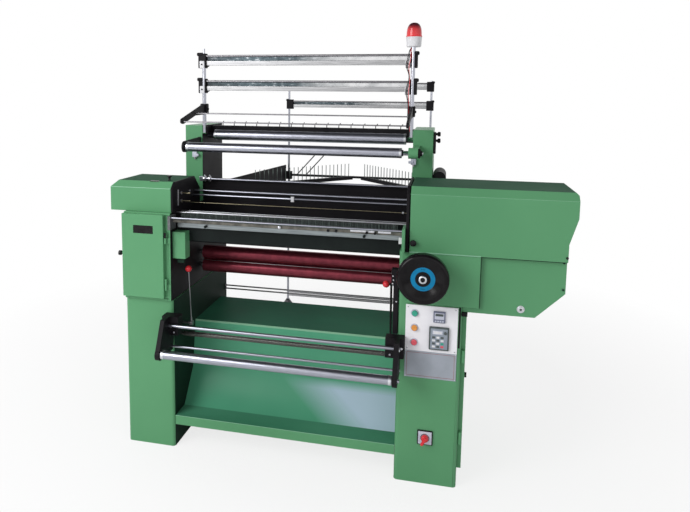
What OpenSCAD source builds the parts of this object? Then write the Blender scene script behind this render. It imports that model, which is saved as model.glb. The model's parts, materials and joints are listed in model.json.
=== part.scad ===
/* [Columns] */
// Clear width between the two columns
gap_w = 1009; // [900:1:1300]
// Width of the left column
left_w = 236; // [200:1:280]
// Width of the right column
right_w = 260; // [250:1:300]
// Depth of both columns
col_d = 720; // [690:1:800]
// Wall of the cast columns
col_wall = 12; // [8:1:16]
// Rounding of the columns' upright edges
edge_r = 16; // [6:1:24]
// Height of the left leg
leg_h = 700; // [690:1:725]
// Height of the deck, which is the right column's top
deck_h = 1000; // [985:1:1060]

/* [Left gearbox] */
// Height of the gearbox top above the deck
box_rise = 104; // [90:1:120]
// Wall of the gearbox casting
box_wall = 10; // [6:1:14]
// Inset of the gearbox from the left column's sides
box_inset = 4; // [2:1:8]
// Depth of the gearbox's pan door
door_d = 20; // [14:1:30]
// Sheet thickness of doors and covers
sheet_t = 3; // [2:0.5:4]
// Overhang of the left hood past the column
left_hood_over = 70; // [20:1:100]
// Height of the left hood
left_hood_h = 136; // [110:1:160]
// Depth of the left hood
left_hood_d = 320; // [280:1:335]

/* [Right covers] */
// Distance from the column's inner face to the right hood
hood_gap = 40; // [38:1:60]
// Length of the right hood
hood_w = 635; // [560:1:720]
// Height of the right hood
hood_h = 270; // [240:1:300]
// Depth of the right hood
hood_d = 332; // [300:1:340]
// Height of the lower cover
lower_cover_h = 238; // [220:1:245]
// Length of the drive panel
drive_panel_w = 286; // [240:1:300]
// Height of the drive panel
drive_panel_h = 212; // [206:1:218]
// Thickness of the drive panel
drive_panel_t = 12; // [8:1:16]

/* [Drive] */
// Diameter of the handwheel
wheel_d = 204; // [160:1:208]
// Width of the handwheel's rim
wheel_w = 46; // [30:1:60]
// Distance of the handwheel's axis from the column's inner face
wheel_x = 101; // [96:1:130]
// Depth of the handwheel's axis below the deck
wheel_drop = 79; // [75:1:85]
// Diameter of the main shaft
shaft_d = 25; // [20:1:30]
// Diameter of the main pulley
main_pulley_d = 104; // [90:1:110]
// Diameter of the motor pulley
motor_pulley_d = 52; // [45:1:70]
// Height of the motor's axis
motor_z = 330; // [260:1:420]
// Diameter of the motor
motor_d = 150; // [120:1:160]
// Distance between the crossed drive gears' axes
gear_reach = 40; // [36:1:46]

/* [Control panel] */
// Width of the control panel
panel_w = 210; // [205:1:220]
// Height of the control panel
panel_h = 195; // [190:1:200]
// Height of the nameplate below it
nameplate_h = 117; // [80:1:130]
// Diameter of the push buttons
button_d = 24; // [18:1:28]
// Travel of the push buttons
button_travel = 3; // [2:0.5:4]
// Size of the main switch's square plate
switch_size = 64; // [50:1:76]

/* [Side door] */
// Width of the side door
side_door_w = 370; // [300:1:420]
// Height of the side door
side_door_h = 670; // [560:1:675]
// Height of the side door's lower edge
side_door_z = 74; // [60:1:76]
// Depth of the side door pan
side_door_t = 18; // [14:1:22]

/* [Take-up] */
// Diameter of the front take-up roller
takeup_d = 38; // [24:1:44]
// Diameter of the upper take-up bar
takeup_bar_d = 12; // [9:1:16]
// Diameter of the ribbed shaft
ribbed_d = 22; // [18:1:26]
// Length of the ball levers
lever_len = 270; // [220:1:280]
// Diameter of the lever balls
ball_d = 30; // [24:1:36]
// Height of the tray's shelf
shelf_h = 526; // [515:1:528]

/* [Rollers] */
// Diameter of the red nip rollers
nip_d = 66; // [54:1:70]
// Diameter of the upper roller
upper_roller_d = 51; // [40:1:56]
// Diameter of the front guide roller
guide_roller_d = 44; // [36:1:46]
// Diameter of the roller journals
journal_d = 20; // [14:1:24]

/* [Needle zone] */
// Height of the needle bar
needle_bar_h = 19; // [16:1:22]
// Pitch of the needles
needle_pitch = 15; // [12:1:24]
// Diameter of the weft bars
weft_d = 10; // [8:1:12]

/* [Upper frame] */
// Height of the upper columns above the deck
upper_rise = 480; // [470:1:520]
// Width of an upper column
upper_w = 90; // [70:1:110]
// Depth of an upper column
upper_d = 280; // [240:1:300]
// Diameter of the upright posts
post_d = 16; // [14:1:18]
// Height of the left post's top above the deck
post_rise = 853; // [850:1:900]
// Height of the lamp
lamp_h = 108; // [90:1:120]
// Diameter of the lamp
lamp_d = 73; // [60:1:80]

/* [Creel] */
// Distance of the creel posts behind the columns' front
creel_y = 2100; // [1900:1:2300]
// Height of the creel posts
creel_h = 1740; // [1735:1:1800]
// Distance between the creel posts
creel_w = 1053; // [900:1:1150]
// Height of the creel's pin bars
creel_bar_z = 1030; // [1020:1:1060]
// Length of the bobbin pins
pin_len = 95; // [70:1:120]

/* [Hidden] */
$fn = 48;
fit = 0.05;
seat = 0.2;
cut = 1;
green = [0.33, 0.60, 0.44];
black = [0.13, 0.13, 0.14];
chrome = [0.78, 0.79, 0.84];
maroon = [0.46, 0.16, 0.20];
red = [0.88, 0.18, 0.20];
white = [0.92, 0.92, 0.94];
grey = [0.66, 0.66, 0.68];
teal = [0.15, 0.68, 0.55];
orange = [0.93, 0.60, 0.25];
pink = [0.90, 0.38, 0.45];

x_l = -gap_w / 2;
x_r = gap_w / 2;
side_x = x_r + right_w;
tray_t = 4;
tray_front = 10;
tray_lip_z = 106;
tray_floor_z = 148;
tray_floor_back = 113;
tray_bend = [225, 300];
shelf_front = 259;
shelf_back = col_d - 100;
shelf_drop = 60;
shelf_mid_z = shelf_h - tray_t / 2;
beam_w = 70;
beam_h = 80;
beam_wall = 6;
beam_y = shelf_back - 90;

box_x0 = x_l - left_w + box_inset;
box_x1 = x_l - box_inset;
box_front = -10;
box_top = deck_h + box_rise;
door_z0 = leg_h + 16;
door_z1 = box_top - 6;
door_front = box_front - seat - door_d;
door_pin_r = 3;
door_barrel_r = 6;
door_hinge_x = box_x1 - 20;
door_hinge_y = box_front - door_d / 2;
door_x1 = door_hinge_x - door_barrel_r - 1;
door_knuckles = [door_z0 + 64, door_z1 - 104];
door_leaf_t = 4;
door_slot_x = box_x0 + 56;
door_slot_w = 97;
door_slot_h = 37;
door_slot_z = door_z1 - 87;
door_slot_deep = 2;
latch_z = door_z0 + 197;
latch_len = 10;
latch_stem_r = 5;
latch_r = 11;

plate_t = 10;
fold = 0.4;
left_hood_y = 10;
left_hood_x0 = x_l - left_w - left_hood_over;
left_hood_x1 = x_l - plate_t;
left_hood_top = box_top + left_hood_h;
left_hood_bevel = 28;
left_hood_back_bevel = 66;

hood_x0 = x_r + hood_gap;
hood_x1 = hood_x0 + hood_w;
hood_y = -drive_panel_t;
hood_y1 = hood_y + hood_d;
hood_top = deck_h + hood_h;
hood_bevel = 30;
hood_back_bevel = 20;
hood_end_bevel = 10;
hood_slant = 30;
hood_slant_z0 = deck_h + 70;
hood_slant_z1 = deck_h + 172;
lower_cover_y = 10;
lower_cover_x1 = hood_x1 - hood_slant;
lower_chamfer_x = 108;
lower_chamfer_z = 106;
drive_panel_x = x_r + 36;
drive_panel_hole = 4;
knob_stem_r = 6;
knob_stem_len = 6;
knob_r = 13;
knob_len = 12;
hood_knob_x = hood_x0 + 15;
hood_knob_z = deck_h + 42;
top_knob_x = left_hood_x1 - 36;
top_knob_y = left_hood_y + 70;
top_knob_stem = 16;
top_knob_stem_r = 5;
top_knob_r = 11;
top_knob_len = 8;

wheel_cx = x_r + wheel_x;
wheel_z = deck_h - wheel_drop;
wheel_back = -82;
wheel_front = wheel_back - wheel_w;
wheel_dish = 14;
wheel_ring = [30, 48];
wheel_ring_deep = 2;
wheel_rim_w = 28;
wheel_rim_round = 4;
wheel_boss_r = 26;
wheel_web = 12;
hub_cap_r = 17;
hub_cap_len = 11;
shaft_r = shaft_d / 2;
shaft_end_gap = 4;
cam_y = 250;
cam_z = wheel_z + gear_reach;
cam_r = 10;
cam_lobe_r = 22;
cam_lobe_w = 24;
cam_lobe_in = 120;
cam_stub = 90;
cam_end = 40;
gear_r = gear_reach / 2 - seat;
gear_w = 34;
belt_y = col_d - 120;
belt_w = 20;
belt_t = 8;
pulley_rim = 5;
pulley_rim_t = 3;
pulley_side = 4;
motor_y = belt_y - 300;
motor_len = 250;
motor_shaft_r = 10;
motor_bore = 60;
motor_foot_h = 100;
motor_foot_in = 30;
motor_fin = 4;
motor_fin_w = 10;
motor_fin_pitch = 30;
motor_fin_count = 6;

panel_in = 33;
panel_x = x_r + panel_in;
panel_z0 = deck_h - 220 - panel_h;
panel_t = 6;
button_x = panel_x + 37;
button_gap = 62;
button_cap = 8;
button_stem_r = 6;
button_z = panel_z0 + 161;
stem_hole = 2;
counter_size = 48;
counter_t = 8;
counter_x = panel_x + 112;
counter_z = panel_z0 + 129;
keypad_w = 80;
keypad_h = 98;
keypad_t = 12;
keypad_x = panel_x + 97;
keypad_z = panel_z0 + 14;
switch_x = x_r + 127;
switch_z = 208;
switch_t = 8;
switch_stem_r = 5;
switch_hub_r = 15;
switch_hub_t = 14;
switch_grip = [40, 12, 16];
switch_grip_back = 12;
switch_turn = 120;

hinge_pin_r = 4;
hinge_r = 8;
hinge_len = 26;
hinge_x = side_x + hinge_r + 1;
hinge_y = 20;
hinge_leaf_t = 4;
hinge_zs = [side_door_z + 140, side_door_z + side_door_h - 175];
side_door_y0 = hinge_y + hinge_r + 2;
side_door_y1 = hinge_y + side_door_w;
side_door_x1 = side_x + side_door_t;
side_door_lap = 12;
side_knob_y = side_door_y1 - 60;
side_knob_z = side_door_z + 281;
side_knob_r = 12;

bracket_z1 = leg_h - 55;
roller_y = -140;
roller_z = bracket_z1 - 140;
takeup_end_r = 26;
takeup_journal_r = 8;
takeup_gap = 2;
bar_y = -43;
bar_z = bracket_z1 - 47;
thin_y = -35;
thin_z = bracket_z1 - 142;
thin_d = 9;
arm_t = 20;
arm_in = 5;
arm_nose = 103;
arm_low_z = bracket_z1 - 163;
arm_low_y = [-60, -18];
bracket_over = panel_in - cut;
bracket_in = 45;
bracket_d = 50;
bracket_h = 85;
bracket_z0 = bracket_z1 - bracket_h;
takeup_x0 = x_l + arm_in;
takeup_x1 = x_r - arm_in;
bar_end = 8;
thin_end = 4;
journal_end = 8;
ribbed_y = 88;
ribbed_z = 518;
ribbed_journal_r = 8;
ribbed_in = 12;
rib_step = 30;
rib_w = 2.4;
rib_deep = 1.5;
lever_y = 104;
lever_z = deck_h - 435;
lever_stud_r = 6;
lever_hub_r = 12;
lever_hub_w = 16;
lever_rod_r = 5;
lever_lean = 6;
lever_in_l = 36;
lever_in_r = 28;
lever_offset = -22;

nip_y = 350;
nip_gap = 0.4;
nip_z = deck_h - 219;
nip_zs = [nip_z, nip_z + nip_d + nip_gap];
journal_r = journal_d / 2;
nip_end = 14;

bed_y = 60;
bed_back = 372;
bed_front_z = deck_h - 30;
bed_low_y = 230;
bed_low_z = deck_h - 77;
bed_top = deck_h + 36;
lip_top = deck_h + 62;
bed_wall = 6;
lip_t = 12;
needle_z = deck_h + 47;
needle_t = 12;
needle_y = 30;
needle_travel = 8;
needle_pin_r = 6;
needle_pin_over = 4;
needle_pin_x = gap_w / 2 - 150;
needle_end = 4;
needle_margin = 20;
needle_blade = 2;
needle_root = [2, 6];
needle_tip = [-10, -6];
needle_tip_z = deck_h + 104;
rod_y = -30;
rod_z = deck_h + 90;
rod_r = 4;
rod_post = 10;
rod_cap = 8;
bracket_l_w = 14;
bracket_l_back = 20;
bracket_r_x = x_r + 10;
bracket_r_w = 13;
bracket_drop = 12;
stand_w = 62;
stand_y = 10;
stand_z0 = deck_h - 104;
stand_z1 = deck_h + 18;
strip_y = [-8, -3];
strip_z = deck_h + 66;
strip_h = 12;
weft_r = weft_d / 2;
weft_front = [246, deck_h + 152];
weft_rear = [268, deck_h + 170];
weft_end = 60;
weft_clamp_x = -10;
weft_clamp_w = 14;
weft_clamp_h = 24;
weft_clamp_d = 5;
plate_r_x = x_r + 24;
plate_r_t = 12;

upper_y = 360;
upper_top = deck_h + upper_rise;
upper_wall = 8;
upper_in_l = x_l + 4;
upper_in_r = x_r + 22;
upper_roll_y = 440;
upper_roll_z = upper_top - 50;
upper_roll_in = 36;
guide_y = 170;
guide_z = upper_top - 91;
guide_x0 = x_l + 4;
guide_x1 = x_r - 14;
guide_arm_gap = 8;
guide_arm_w = 10;
guide_arm_r = 26;
guide_arm_root = [-20, 34];
guide_arm_x0 = guide_x0 - guide_arm_gap - guide_arm_w;
guide_arm_x1 = guide_x0 - guide_arm_gap;
housing_r = 23.5;
housing_x0 = x_r + 14;
housing_x1 = housing_x0 + 41;
housing_neck = 14;
housing_neck_h = 40;
hook_y = 486;
hook_beam_d = 40;
hook_beam_z0 = upper_top - 70;
hook_beam_z1 = upper_top - 6;
hook_pitch = 60;
hook_margin = 60;
hook_r = 2;
hook_stem = 12;
hook_len = 26;
hook_bend = 60;
hook_turn = 30;
hook_in = 4;
cross_t = 12;
cross_z1 = deck_h + 210;
top_rod_y = 342;
top_rod_z = deck_h + 218;
top_rod_r = 5;
top_hold_h = 24;
top_hold_y = top_rod_y - 10;
top_hold_l = [upper_in_l - 8, upper_in_l + 12];
top_hold_r = [upper_in_r - 4, upper_in_r + 14];
guard_x = upper_in_r + upper_w + 2;
guard_r = 30;
guard_y = upper_y + 20;
guard_d = 180;
guard_z = hood_top - 10;
tension_x = upper_in_r + upper_w;
tension_t = 12;
tension_y = upper_y + 30;
tension_d = 30;
tension_h = 100;
tension_z1 = upper_top - 10;
tension_knob_r = 10;
tension_knob_len = 20;
tension_knob_gap = 30;

post_r = post_d / 2;
post_y = upper_y + 11;
lug_in = 20;
lug_h = 35;
lug_back = 6;
lug_floor = 4;
post_xs = [upper_in_l + lug_in / 2, upper_in_r - lug_in / 2];
post_z0 = upper_top - 40;
post_top = deck_h + post_rise;
rail_zs = [deck_h + 797, deck_h + 676];
rail_block_w = 24;
rail_block_d = 30;
rail_block_h = 72;
rail_block_low = 37;
rail_rod_r = 3.5;
rail_rod_at = [-4, 28];
band_y = [-2, 1];
band_h = 20;
rail_bar_y = [-6, 0];
rail_bar_z = [-20, -3];
arm_hub_z = deck_h + 562;
arm_hub_w = 26;
arm_hub_d = 32;
arm_hub_h = 50;
arm_hub_z0 = arm_hub_z - arm_hub_h / 2;
arm_hub_z1 = arm_hub_z + arm_hub_h / 2;
arm_plate_t = 10;
arm_nib = 10;
arm_tip = [post_y - 277, deck_h + 509];
arm_mid = [post_y - 133, deck_h + 543];
arm_rod_r = 3;
lamp_base_h = 48;
lamp_foot_in = 5;
lamp_flare = 2;
lamp_foot_h = 6;
cable_r = 2;
cable_bend_r = 2.4;
cable_x = post_xs[1] - 22;
cable_y = post_y - 24;
cable_low_x = cable_x + 10;
cable_low_y = upper_y - cable_r - 1;

creel_x = (post_xs[0] + post_xs[1]) / 2 + 14;
creel_xs = [creel_x - creel_w / 2, creel_x + creel_w / 2];
creel_r = 8;
creel_foot_r = 35;
creel_foot_rim = 6;
creel_foot_h = 40;
creel_foot_neck = 4;
creel_rail_drops = [40, 176];
creel_bar = 16;
tie_zs = [70, 96];
tie_r = 5;
feeler_xs = [40, 110];
feeler_r = 4;
feeler_len = 240;
feeler_lean = 42;
clamp_w = 50;
clamp_d = 30;
clamp_z0 = creel_bar_z - 40;
clamp_z1 = creel_bar_z + 20;
side_t = 6;
side_h = 160;
side_top = creel_bar_z + 70;
side_front_x = [box_x0 + 8, side_x - 20];
side_rear_x = [creel_xs[0] - 20, creel_xs[1] + 20];
side_rear_y = creel_y - clamp_d / 2;
wing_y = creel_y - 620;
wing_w = 36;
wing_h = 25;
apex_gap = 48;
pin_count = 24;
pin_r = 2.5;

x_min = left_hood_x0;
x_max = hood_x1;
y_min = roller_y - takeup_end_r;
y_max = creel_y + creel_foot_r;
origin_x = (x_min + x_max) / 2;
origin_y = (y_min + y_max) / 2;

// Moves the machine so that its box is centred on the origin
module place() {
    translate([-origin_x, -origin_y, 0]) children();
}

module block(x0, x1, y0, y1, z0, z1) {
    translate([x0, y0, z0]) cube([x1 - x0, y1 - y0, z1 - z0]);
}

module x_rod(r, x0, x1, y, z) {
    translate([x0, y, z]) rotate([0, 90, 0]) cylinder(r = r, h = x1 - x0);
}

module y_rod(r, y0, y1, x, z) {
    translate([x, y0, z]) rotate([-90, 0, 0]) cylinder(r = r, h = y1 - y0);
}

module z_rod(r, z0, z1, x, y) {
    translate([x, y, z0]) cylinder(r = r, h = z1 - z0);
}

// Extrudes an outline drawn in Y and Z along X
module along_x(x0, x1) {
    translate([x0, 0, 0]) rotate([90, 0, 90]) linear_extrude(x1 - x0) children();
}

// Extrudes an outline drawn in X and Z along Y
module along_y(y0, y1) {
    translate([0, y1, 0]) rotate([90, 0, 0]) linear_extrude(y1 - y0) children();
}

// Rectangle with true round corners
module round_rect(w, d, r) {
    translate([r, 0]) square([w - 2 * r, d]);
    translate([0, r]) square([w, d - 2 * r]);
    for (x = [r, w - r], y = [r, d - r]) translate([x, y]) circle(r = r);
}

// Folded sheet of thickness t through a list of points
module folded(points, t) {
    for (i = [0 : len(points) - 2]) {
        run = points[i + 1] - points[i];
        translate(points[i]) rotate(atan2(run[1], run[0])) translate([0, -t / 2]) square([norm(run), t]);
        if (i > 0) translate(points[i]) circle(d = t);
    }
}

// Bar with parallel ends between two plan points
module slant_bar(a, b, w, z0, z1) {
    translate([0, 0, z0]) linear_extrude(z1 - z0)
        polygon([[a[0] - w / 2, a[1]], [a[0] + w / 2, a[1]], [b[0] + w / 2, b[1]], [b[0] - w / 2, b[1]]]);
}

// Columns, beam and tray
module left_column() place() color(green) {
    difference() {
        translate([x_l - left_w, 0, 0]) linear_extrude(leg_h) round_rect(left_w, col_d, edge_r);
        block(x_l - left_w + col_wall, x_l - col_wall, col_wall, col_d - col_wall, -cut, leg_h - col_wall);
        x_rod(ribbed_journal_r + fit, x_l - col_wall - cut, x_l + cut, ribbed_y, ribbed_z);
    }
    x_rod(lever_stud_r, x_l, x_l + lever_in_l + lever_hub_w + seat, lever_y, lever_z);
}

module right_column() place() color(green) {
    in_x = x_r + col_wall;
    difference() {
        translate([x_r, 0, 0]) linear_extrude(deck_h) round_rect(right_w, col_d, edge_r);
        block(in_x, side_x - col_wall, col_wall, col_d - col_wall, -cut, deck_h - col_wall);
        block(side_x - col_wall - cut, side_x + cut, side_door_y0 + side_door_lap,
              side_door_y1 - side_door_lap, side_door_z + side_door_lap,
              side_door_z + side_door_h - side_door_lap);
        y_rod(shaft_r + fit, -cut, col_d + cut, wheel_cx, wheel_z);
        x_rod(cam_r + fit, x_r - cut, in_x + cut, cam_y, cam_z);
        for (z = nip_zs) x_rod(journal_r + fit, x_r - cut, in_x + cut, nip_y, z);
        x_rod(ribbed_journal_r + fit, x_r - cut, in_x + cut, ribbed_y, ribbed_z);
        for (i = [0 : 2])
            y_rod(button_stem_r + stem_hole, -cut, col_wall + cut, button_x, button_z - i * button_gap);
        y_rod(switch_stem_r + stem_hole, -cut, col_wall + cut, switch_x, switch_z);
    }
    x_rod(lever_stud_r, x_r - lever_in_r - lever_hub_w - seat, x_r, lever_y, lever_z);
}

module chute_tray() place() color(green)
    along_x(x_l, x_r)
        folded([[tray_front, tray_lip_z], [tray_front, tray_floor_z], [tray_floor_back, tray_floor_z],
                tray_bend, [shelf_front, shelf_mid_z], [shelf_back, shelf_mid_z],
                [shelf_back, shelf_mid_z - shelf_drop]], tray_t);

module rear_beam() place() color(green) {
    z0 = shelf_h - tray_t - beam_h;
    along_x(x_l, x_r) difference() {
        translate([beam_y, z0]) square([beam_w, beam_h]);
        translate([beam_y + beam_wall, z0 + beam_wall])
            square([beam_w - 2 * beam_wall, beam_h - 2 * beam_wall]);
    }
}

// Left gearbox, its door and its hood
module left_gearbox() place() color(green) difference() {
    block(box_x0, box_x1, box_front, col_d, leg_h, box_top);
    block(box_x0 + box_wall, box_x1 - box_wall, box_front - cut, col_d - box_wall, leg_h + box_wall,
          box_top - box_wall);
    x_rod(cam_r + fit, box_x1 - box_wall - cut, box_x1 + cut, cam_y, cam_z);
    for (z = nip_zs) x_rod(journal_r + fit, box_x1 - box_wall - cut, box_x1 + cut, nip_y, z);
}

module left_door() place() color(green) {
    difference() {
        block(box_x0, door_x1, door_front, box_front - seat, door_z0, door_z1);
        block(box_x0 + sheet_t, door_x1 - sheet_t, door_front + sheet_t, box_front, door_z0 + sheet_t,
              door_z1 - sheet_t);
        block(door_slot_x, door_slot_x + door_slot_w, door_front - cut, door_front + door_slot_deep,
              door_slot_z, door_slot_z + door_slot_h);
    }
    for (z = door_knuckles) difference() {
        union() {
            z_rod(door_barrel_r, z, z + hinge_len, door_hinge_x, door_hinge_y);
            block(door_x1 - sheet_t, door_hinge_x, door_hinge_y - door_leaf_t / 2,
                  door_hinge_y + door_leaf_t / 2, z, z + hinge_len);
        }
        z_rod(door_pin_r + fit, z - cut, z + hinge_len + cut, door_hinge_x, door_hinge_y);
    }
    x_rod(latch_stem_r, box_x0 - latch_len, box_x0 + cut, door_hinge_y - seat, latch_z);
    x_rod(latch_r, box_x0 - 2 * latch_len, box_x0 - latch_len, door_hinge_y - seat, latch_z);
}

// Outline of a hood across the machine, with a front and a back bevel; an inset outline is the hollow
function hood_outline(y0, y1, z0, h, front, back, inset) = let (low = inset > 0 ? z0 - cut : z0) [
    [y0 + inset, low], [y0 + inset, z0 + h - front - inset * fold],
    [y0 + front + inset * fold, z0 + h - inset], [y1 - back - inset * fold, z0 + h - inset],
    [y1 - inset, z0 + h - back - inset * fold], [y1 - inset, low]];

module left_hood_section(inset)
    polygon(hood_outline(left_hood_y, left_hood_y + left_hood_d, box_top, left_hood_h, left_hood_bevel,
                         left_hood_back_bevel, inset));

module right_hood_section(inset)
    polygon(hood_outline(hood_y, hood_y1, deck_h, hood_h, hood_bevel, hood_back_bevel, inset));

// Front outline of the left hood, open to the right
module left_hood_front(inset) {
    low = inset > 0 ? box_top - cut : box_top;
    x1 = inset > 0 ? left_hood_x1 + cut : left_hood_x1;
    polygon([[left_hood_x0 + inset, low],
             [left_hood_x0 + inset, left_hood_top - left_hood_bevel - inset * fold],
             [left_hood_x0 + left_hood_bevel + inset * fold, left_hood_top - inset],
             [x1, left_hood_top - inset], [x1, low]]);
}

module left_hood() place() color(green) difference() {
    intersection() {
        along_x(left_hood_x0, left_hood_x1) left_hood_section(0);
        along_y(left_hood_y, left_hood_y + left_hood_d) left_hood_front(0);
    }
    intersection() {
        along_x(left_hood_x0, left_hood_x1 + 2 * cut) left_hood_section(sheet_t);
        along_y(left_hood_y, left_hood_y + left_hood_d) left_hood_front(sheet_t);
    }
}

// Black end plates that guide the weft bars, and the guard beside the right upper column
module end_plates() place() color(black) {
    difference() {
        union() {
            along_x(left_hood_x1, left_hood_x1 + plate_t) left_hood_section(0);
            along_x(plate_r_x, plate_r_x + plate_r_t) right_hood_section(0);
        }
        for (w = [weft_front, weft_rear]) x_rod(weft_r + fit, x_l - left_w, side_x, w[0], w[1]);
    }
    block(guard_x, guard_x + 2 * guard_r, guard_y, guard_y + guard_d, deck_h, guard_z);
    y_rod(guard_r, guard_y, guard_y + guard_d, guard_x + guard_r, guard_z);
}

// Front outline of the right hood, open to the left
module right_hood_front(inset) {
    low = inset > 0 ? deck_h - cut : deck_h;
    x0 = inset > 0 ? hood_x0 - cut : hood_x0;
    x1 = hood_x1 - inset;
    polygon([[x0, low], [x0, hood_top - inset], [x1 - hood_end_bevel, hood_top - inset],
             [x1, hood_top - hood_end_bevel - inset], [x1, hood_slant_z1], [x1 - hood_slant, hood_slant_z0],
             [x1 - hood_slant, low]]);
}

module right_hood() place() color(green) difference() {
    intersection() {
        along_x(hood_x0, hood_x1) right_hood_section(0);
        along_y(hood_y, hood_y1) right_hood_front(0);
    }
    intersection() {
        along_x(hood_x0 - 2 * cut, hood_x1) right_hood_section(sheet_t);
        along_y(hood_y, hood_y1) right_hood_front(sheet_t);
    }
}

// Front outline of the lower cover, open towards the column and the hood
module lower_cover_front(inset) {
    x0 = inset > 0 ? side_x - cut : side_x;
    x1 = lower_cover_x1 - inset;
    z0 = deck_h - lower_cover_h + inset;
    z1 = inset > 0 ? deck_h + cut : deck_h;
    polygon([[x0, z0], [x1 - lower_chamfer_x + inset * fold, z0], [x1, z0 + lower_chamfer_z - inset * fold],
             [x1, z1], [x0, z1]]);
}

module right_lower_cover() place() color(green) difference() {
    along_y(lower_cover_y, hood_y1) lower_cover_front(0);
    along_y(lower_cover_y + sheet_t, hood_y1 - sheet_t) lower_cover_front(sheet_t);
}

module drive_panel() place() color(green) difference() {
    block(drive_panel_x, drive_panel_x + drive_panel_w, -drive_panel_t, 0, deck_h - drive_panel_h,
          deck_h - seat);
    y_rod(shaft_r + drive_panel_hole, -drive_panel_t - cut, cut, wheel_cx, wheel_z);
}

// Knobs of the hoods and the tension knobs beside the right upper column
module cover_knobs() place() color(black) {
    knob_y = hood_y - knob_stem_len;
    y_rod(knob_stem_r, knob_y, hood_y, hood_knob_x, hood_knob_z);
    y_rod(knob_r, knob_y - knob_len, knob_y, hood_knob_x, hood_knob_z);
    cap_z = left_hood_top + top_knob_stem;
    z_rod(top_knob_stem_r, left_hood_top, cap_z, top_knob_x, top_knob_y);
    z_rod(top_knob_r, cap_z, cap_z + top_knob_len, top_knob_x, top_knob_y);
    block(tension_x, tension_x + tension_t, tension_y, tension_y + tension_d, tension_z1 - tension_h,
          tension_z1);
    for (i = [0, 1])
        x_rod(tension_knob_r, tension_x + tension_t, tension_x + tension_t + tension_knob_len,
              tension_y + tension_d / 2, tension_z1 - tension_knob_r - i * tension_knob_gap);
}

// Drive train
module handwheel() place() color(black) translate([wheel_cx, wheel_front, wheel_z]) rotate([-90, 0, 0])
    rotate_extrude() {
        r = wheel_d / 2;
        bore = shaft_r + fit;
        ring_z = wheel_dish + wheel_ring_deep;
        web_z = wheel_w - wheel_web;
        polygon([[bore, wheel_w], [bore, wheel_dish], [wheel_ring[0], wheel_dish], [wheel_ring[0], ring_z],
                 [wheel_ring[1], ring_z], [wheel_ring[1], wheel_dish], [r - wheel_rim_w, wheel_rim_round / 2],
                 [r - wheel_rim_w / 2, 0], [r - wheel_rim_round, wheel_rim_round], [r, 3 * wheel_rim_round],
                 [r, wheel_w - wheel_rim_round], [r - wheel_rim_round, wheel_w],
                 [r - wheel_rim_w + 2 * wheel_rim_round, wheel_w], [r - wheel_rim_w, web_z],
                 [wheel_boss_r, web_z], [wheel_boss_r, wheel_w]]);
    }

module main_shaft() place() color(chrome) {
    cap_y = wheel_front + wheel_dish;
    y_rod(shaft_r, cap_y - seat, col_d - shaft_end_gap, wheel_cx, wheel_z);
    y_rod(hub_cap_r, cap_y - seat - hub_cap_len, cap_y - seat, wheel_cx, wheel_z);
    y_rod(gear_r, cam_y - gear_w / 2, cam_y + gear_w / 2, wheel_cx, wheel_z);
}

// Pulley on an axis along Y, with two rims and a bore
module pulley(d, bore_r, x, z) {
    y0 = belt_y - belt_w / 2 - pulley_side;
    y1 = belt_y + belt_w / 2 + pulley_side;
    difference() {
        union() {
            y_rod(d / 2, y0, y1, x, z);
            y_rod(d / 2 + pulley_rim, y0, y0 + pulley_rim_t, x, z);
            y_rod(d / 2 + pulley_rim, y1 - pulley_rim_t, y1, x, z);
        }
        y_rod(bore_r, y0 - cut, y1 + cut, x, z);
    }
}

module main_pulley() place() color(grey) pulley(main_pulley_d, shaft_r + fit, wheel_cx, wheel_z);

module cam_shaft() place() color(chrome) {
    x_rod(cam_r, box_x1 - cam_stub, wheel_cx + cam_end, cam_y, cam_z);
    x_rod(gear_r, wheel_cx - gear_w / 2, wheel_cx + gear_w / 2, cam_y, cam_z);
    for (x = [x_l + cam_lobe_in, x_r - cam_lobe_in - cam_lobe_w])
        x_rod(cam_lobe_r, x, x + cam_lobe_w, cam_y, cam_z);
}

module motor() place() color(grey) difference() {
    union() {
        y_rod(motor_d / 2, motor_y, motor_y + motor_len, wheel_cx, motor_z);
        block(x_r + col_wall, wheel_cx, motor_y + motor_foot_in, motor_y + motor_len - motor_foot_in,
              motor_z - motor_foot_h / 2, motor_z + motor_foot_h / 2);
        for (i = [0 : motor_fin_count - 1]) {
            y = motor_y + motor_foot_in + motor_fin_w + i * motor_fin_pitch;
            y_rod(motor_d / 2 + motor_fin, y, y + motor_fin_w, wheel_cx, motor_z);
        }
    }
    y_rod(motor_shaft_r + fit, motor_y + motor_bore, motor_y + motor_len + cut, wheel_cx, motor_z);
}

module motor_pulley() place() color(chrome) {
    pulley(motor_pulley_d, motor_shaft_r - cut, wheel_cx, motor_z);
    y_rod(motor_shaft_r, motor_y + motor_bore + seat, belt_y + belt_w, wheel_cx, motor_z);
}

// Closed belt line around both pulleys, spread outwards
module belt_loop(spread) hull() {
    translate([wheel_cx, wheel_z]) circle(r = main_pulley_d / 2 + spread);
    translate([wheel_cx, motor_z]) circle(r = motor_pulley_d / 2 + spread);
}

module drive_belt() place() color(black) along_y(belt_y - belt_w / 2, belt_y + belt_w / 2) difference() {
    belt_loop(belt_t);
    belt_loop(seat);
}

// Control panel on the right column's front
module control_panel() place() color(white) difference() {
    block(panel_x, panel_x + panel_w, -panel_t, 0, panel_z0, panel_z0 + panel_h);
    for (i = [0 : 2])
        y_rod(button_stem_r + fit, -panel_t - cut, cut, button_x, button_z - i * button_gap);
}

module nameplate() place() color(grey)
    block(panel_x, panel_x + panel_w, -panel_t / 2, 0, panel_z0 - nameplate_h, panel_z0);

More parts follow.
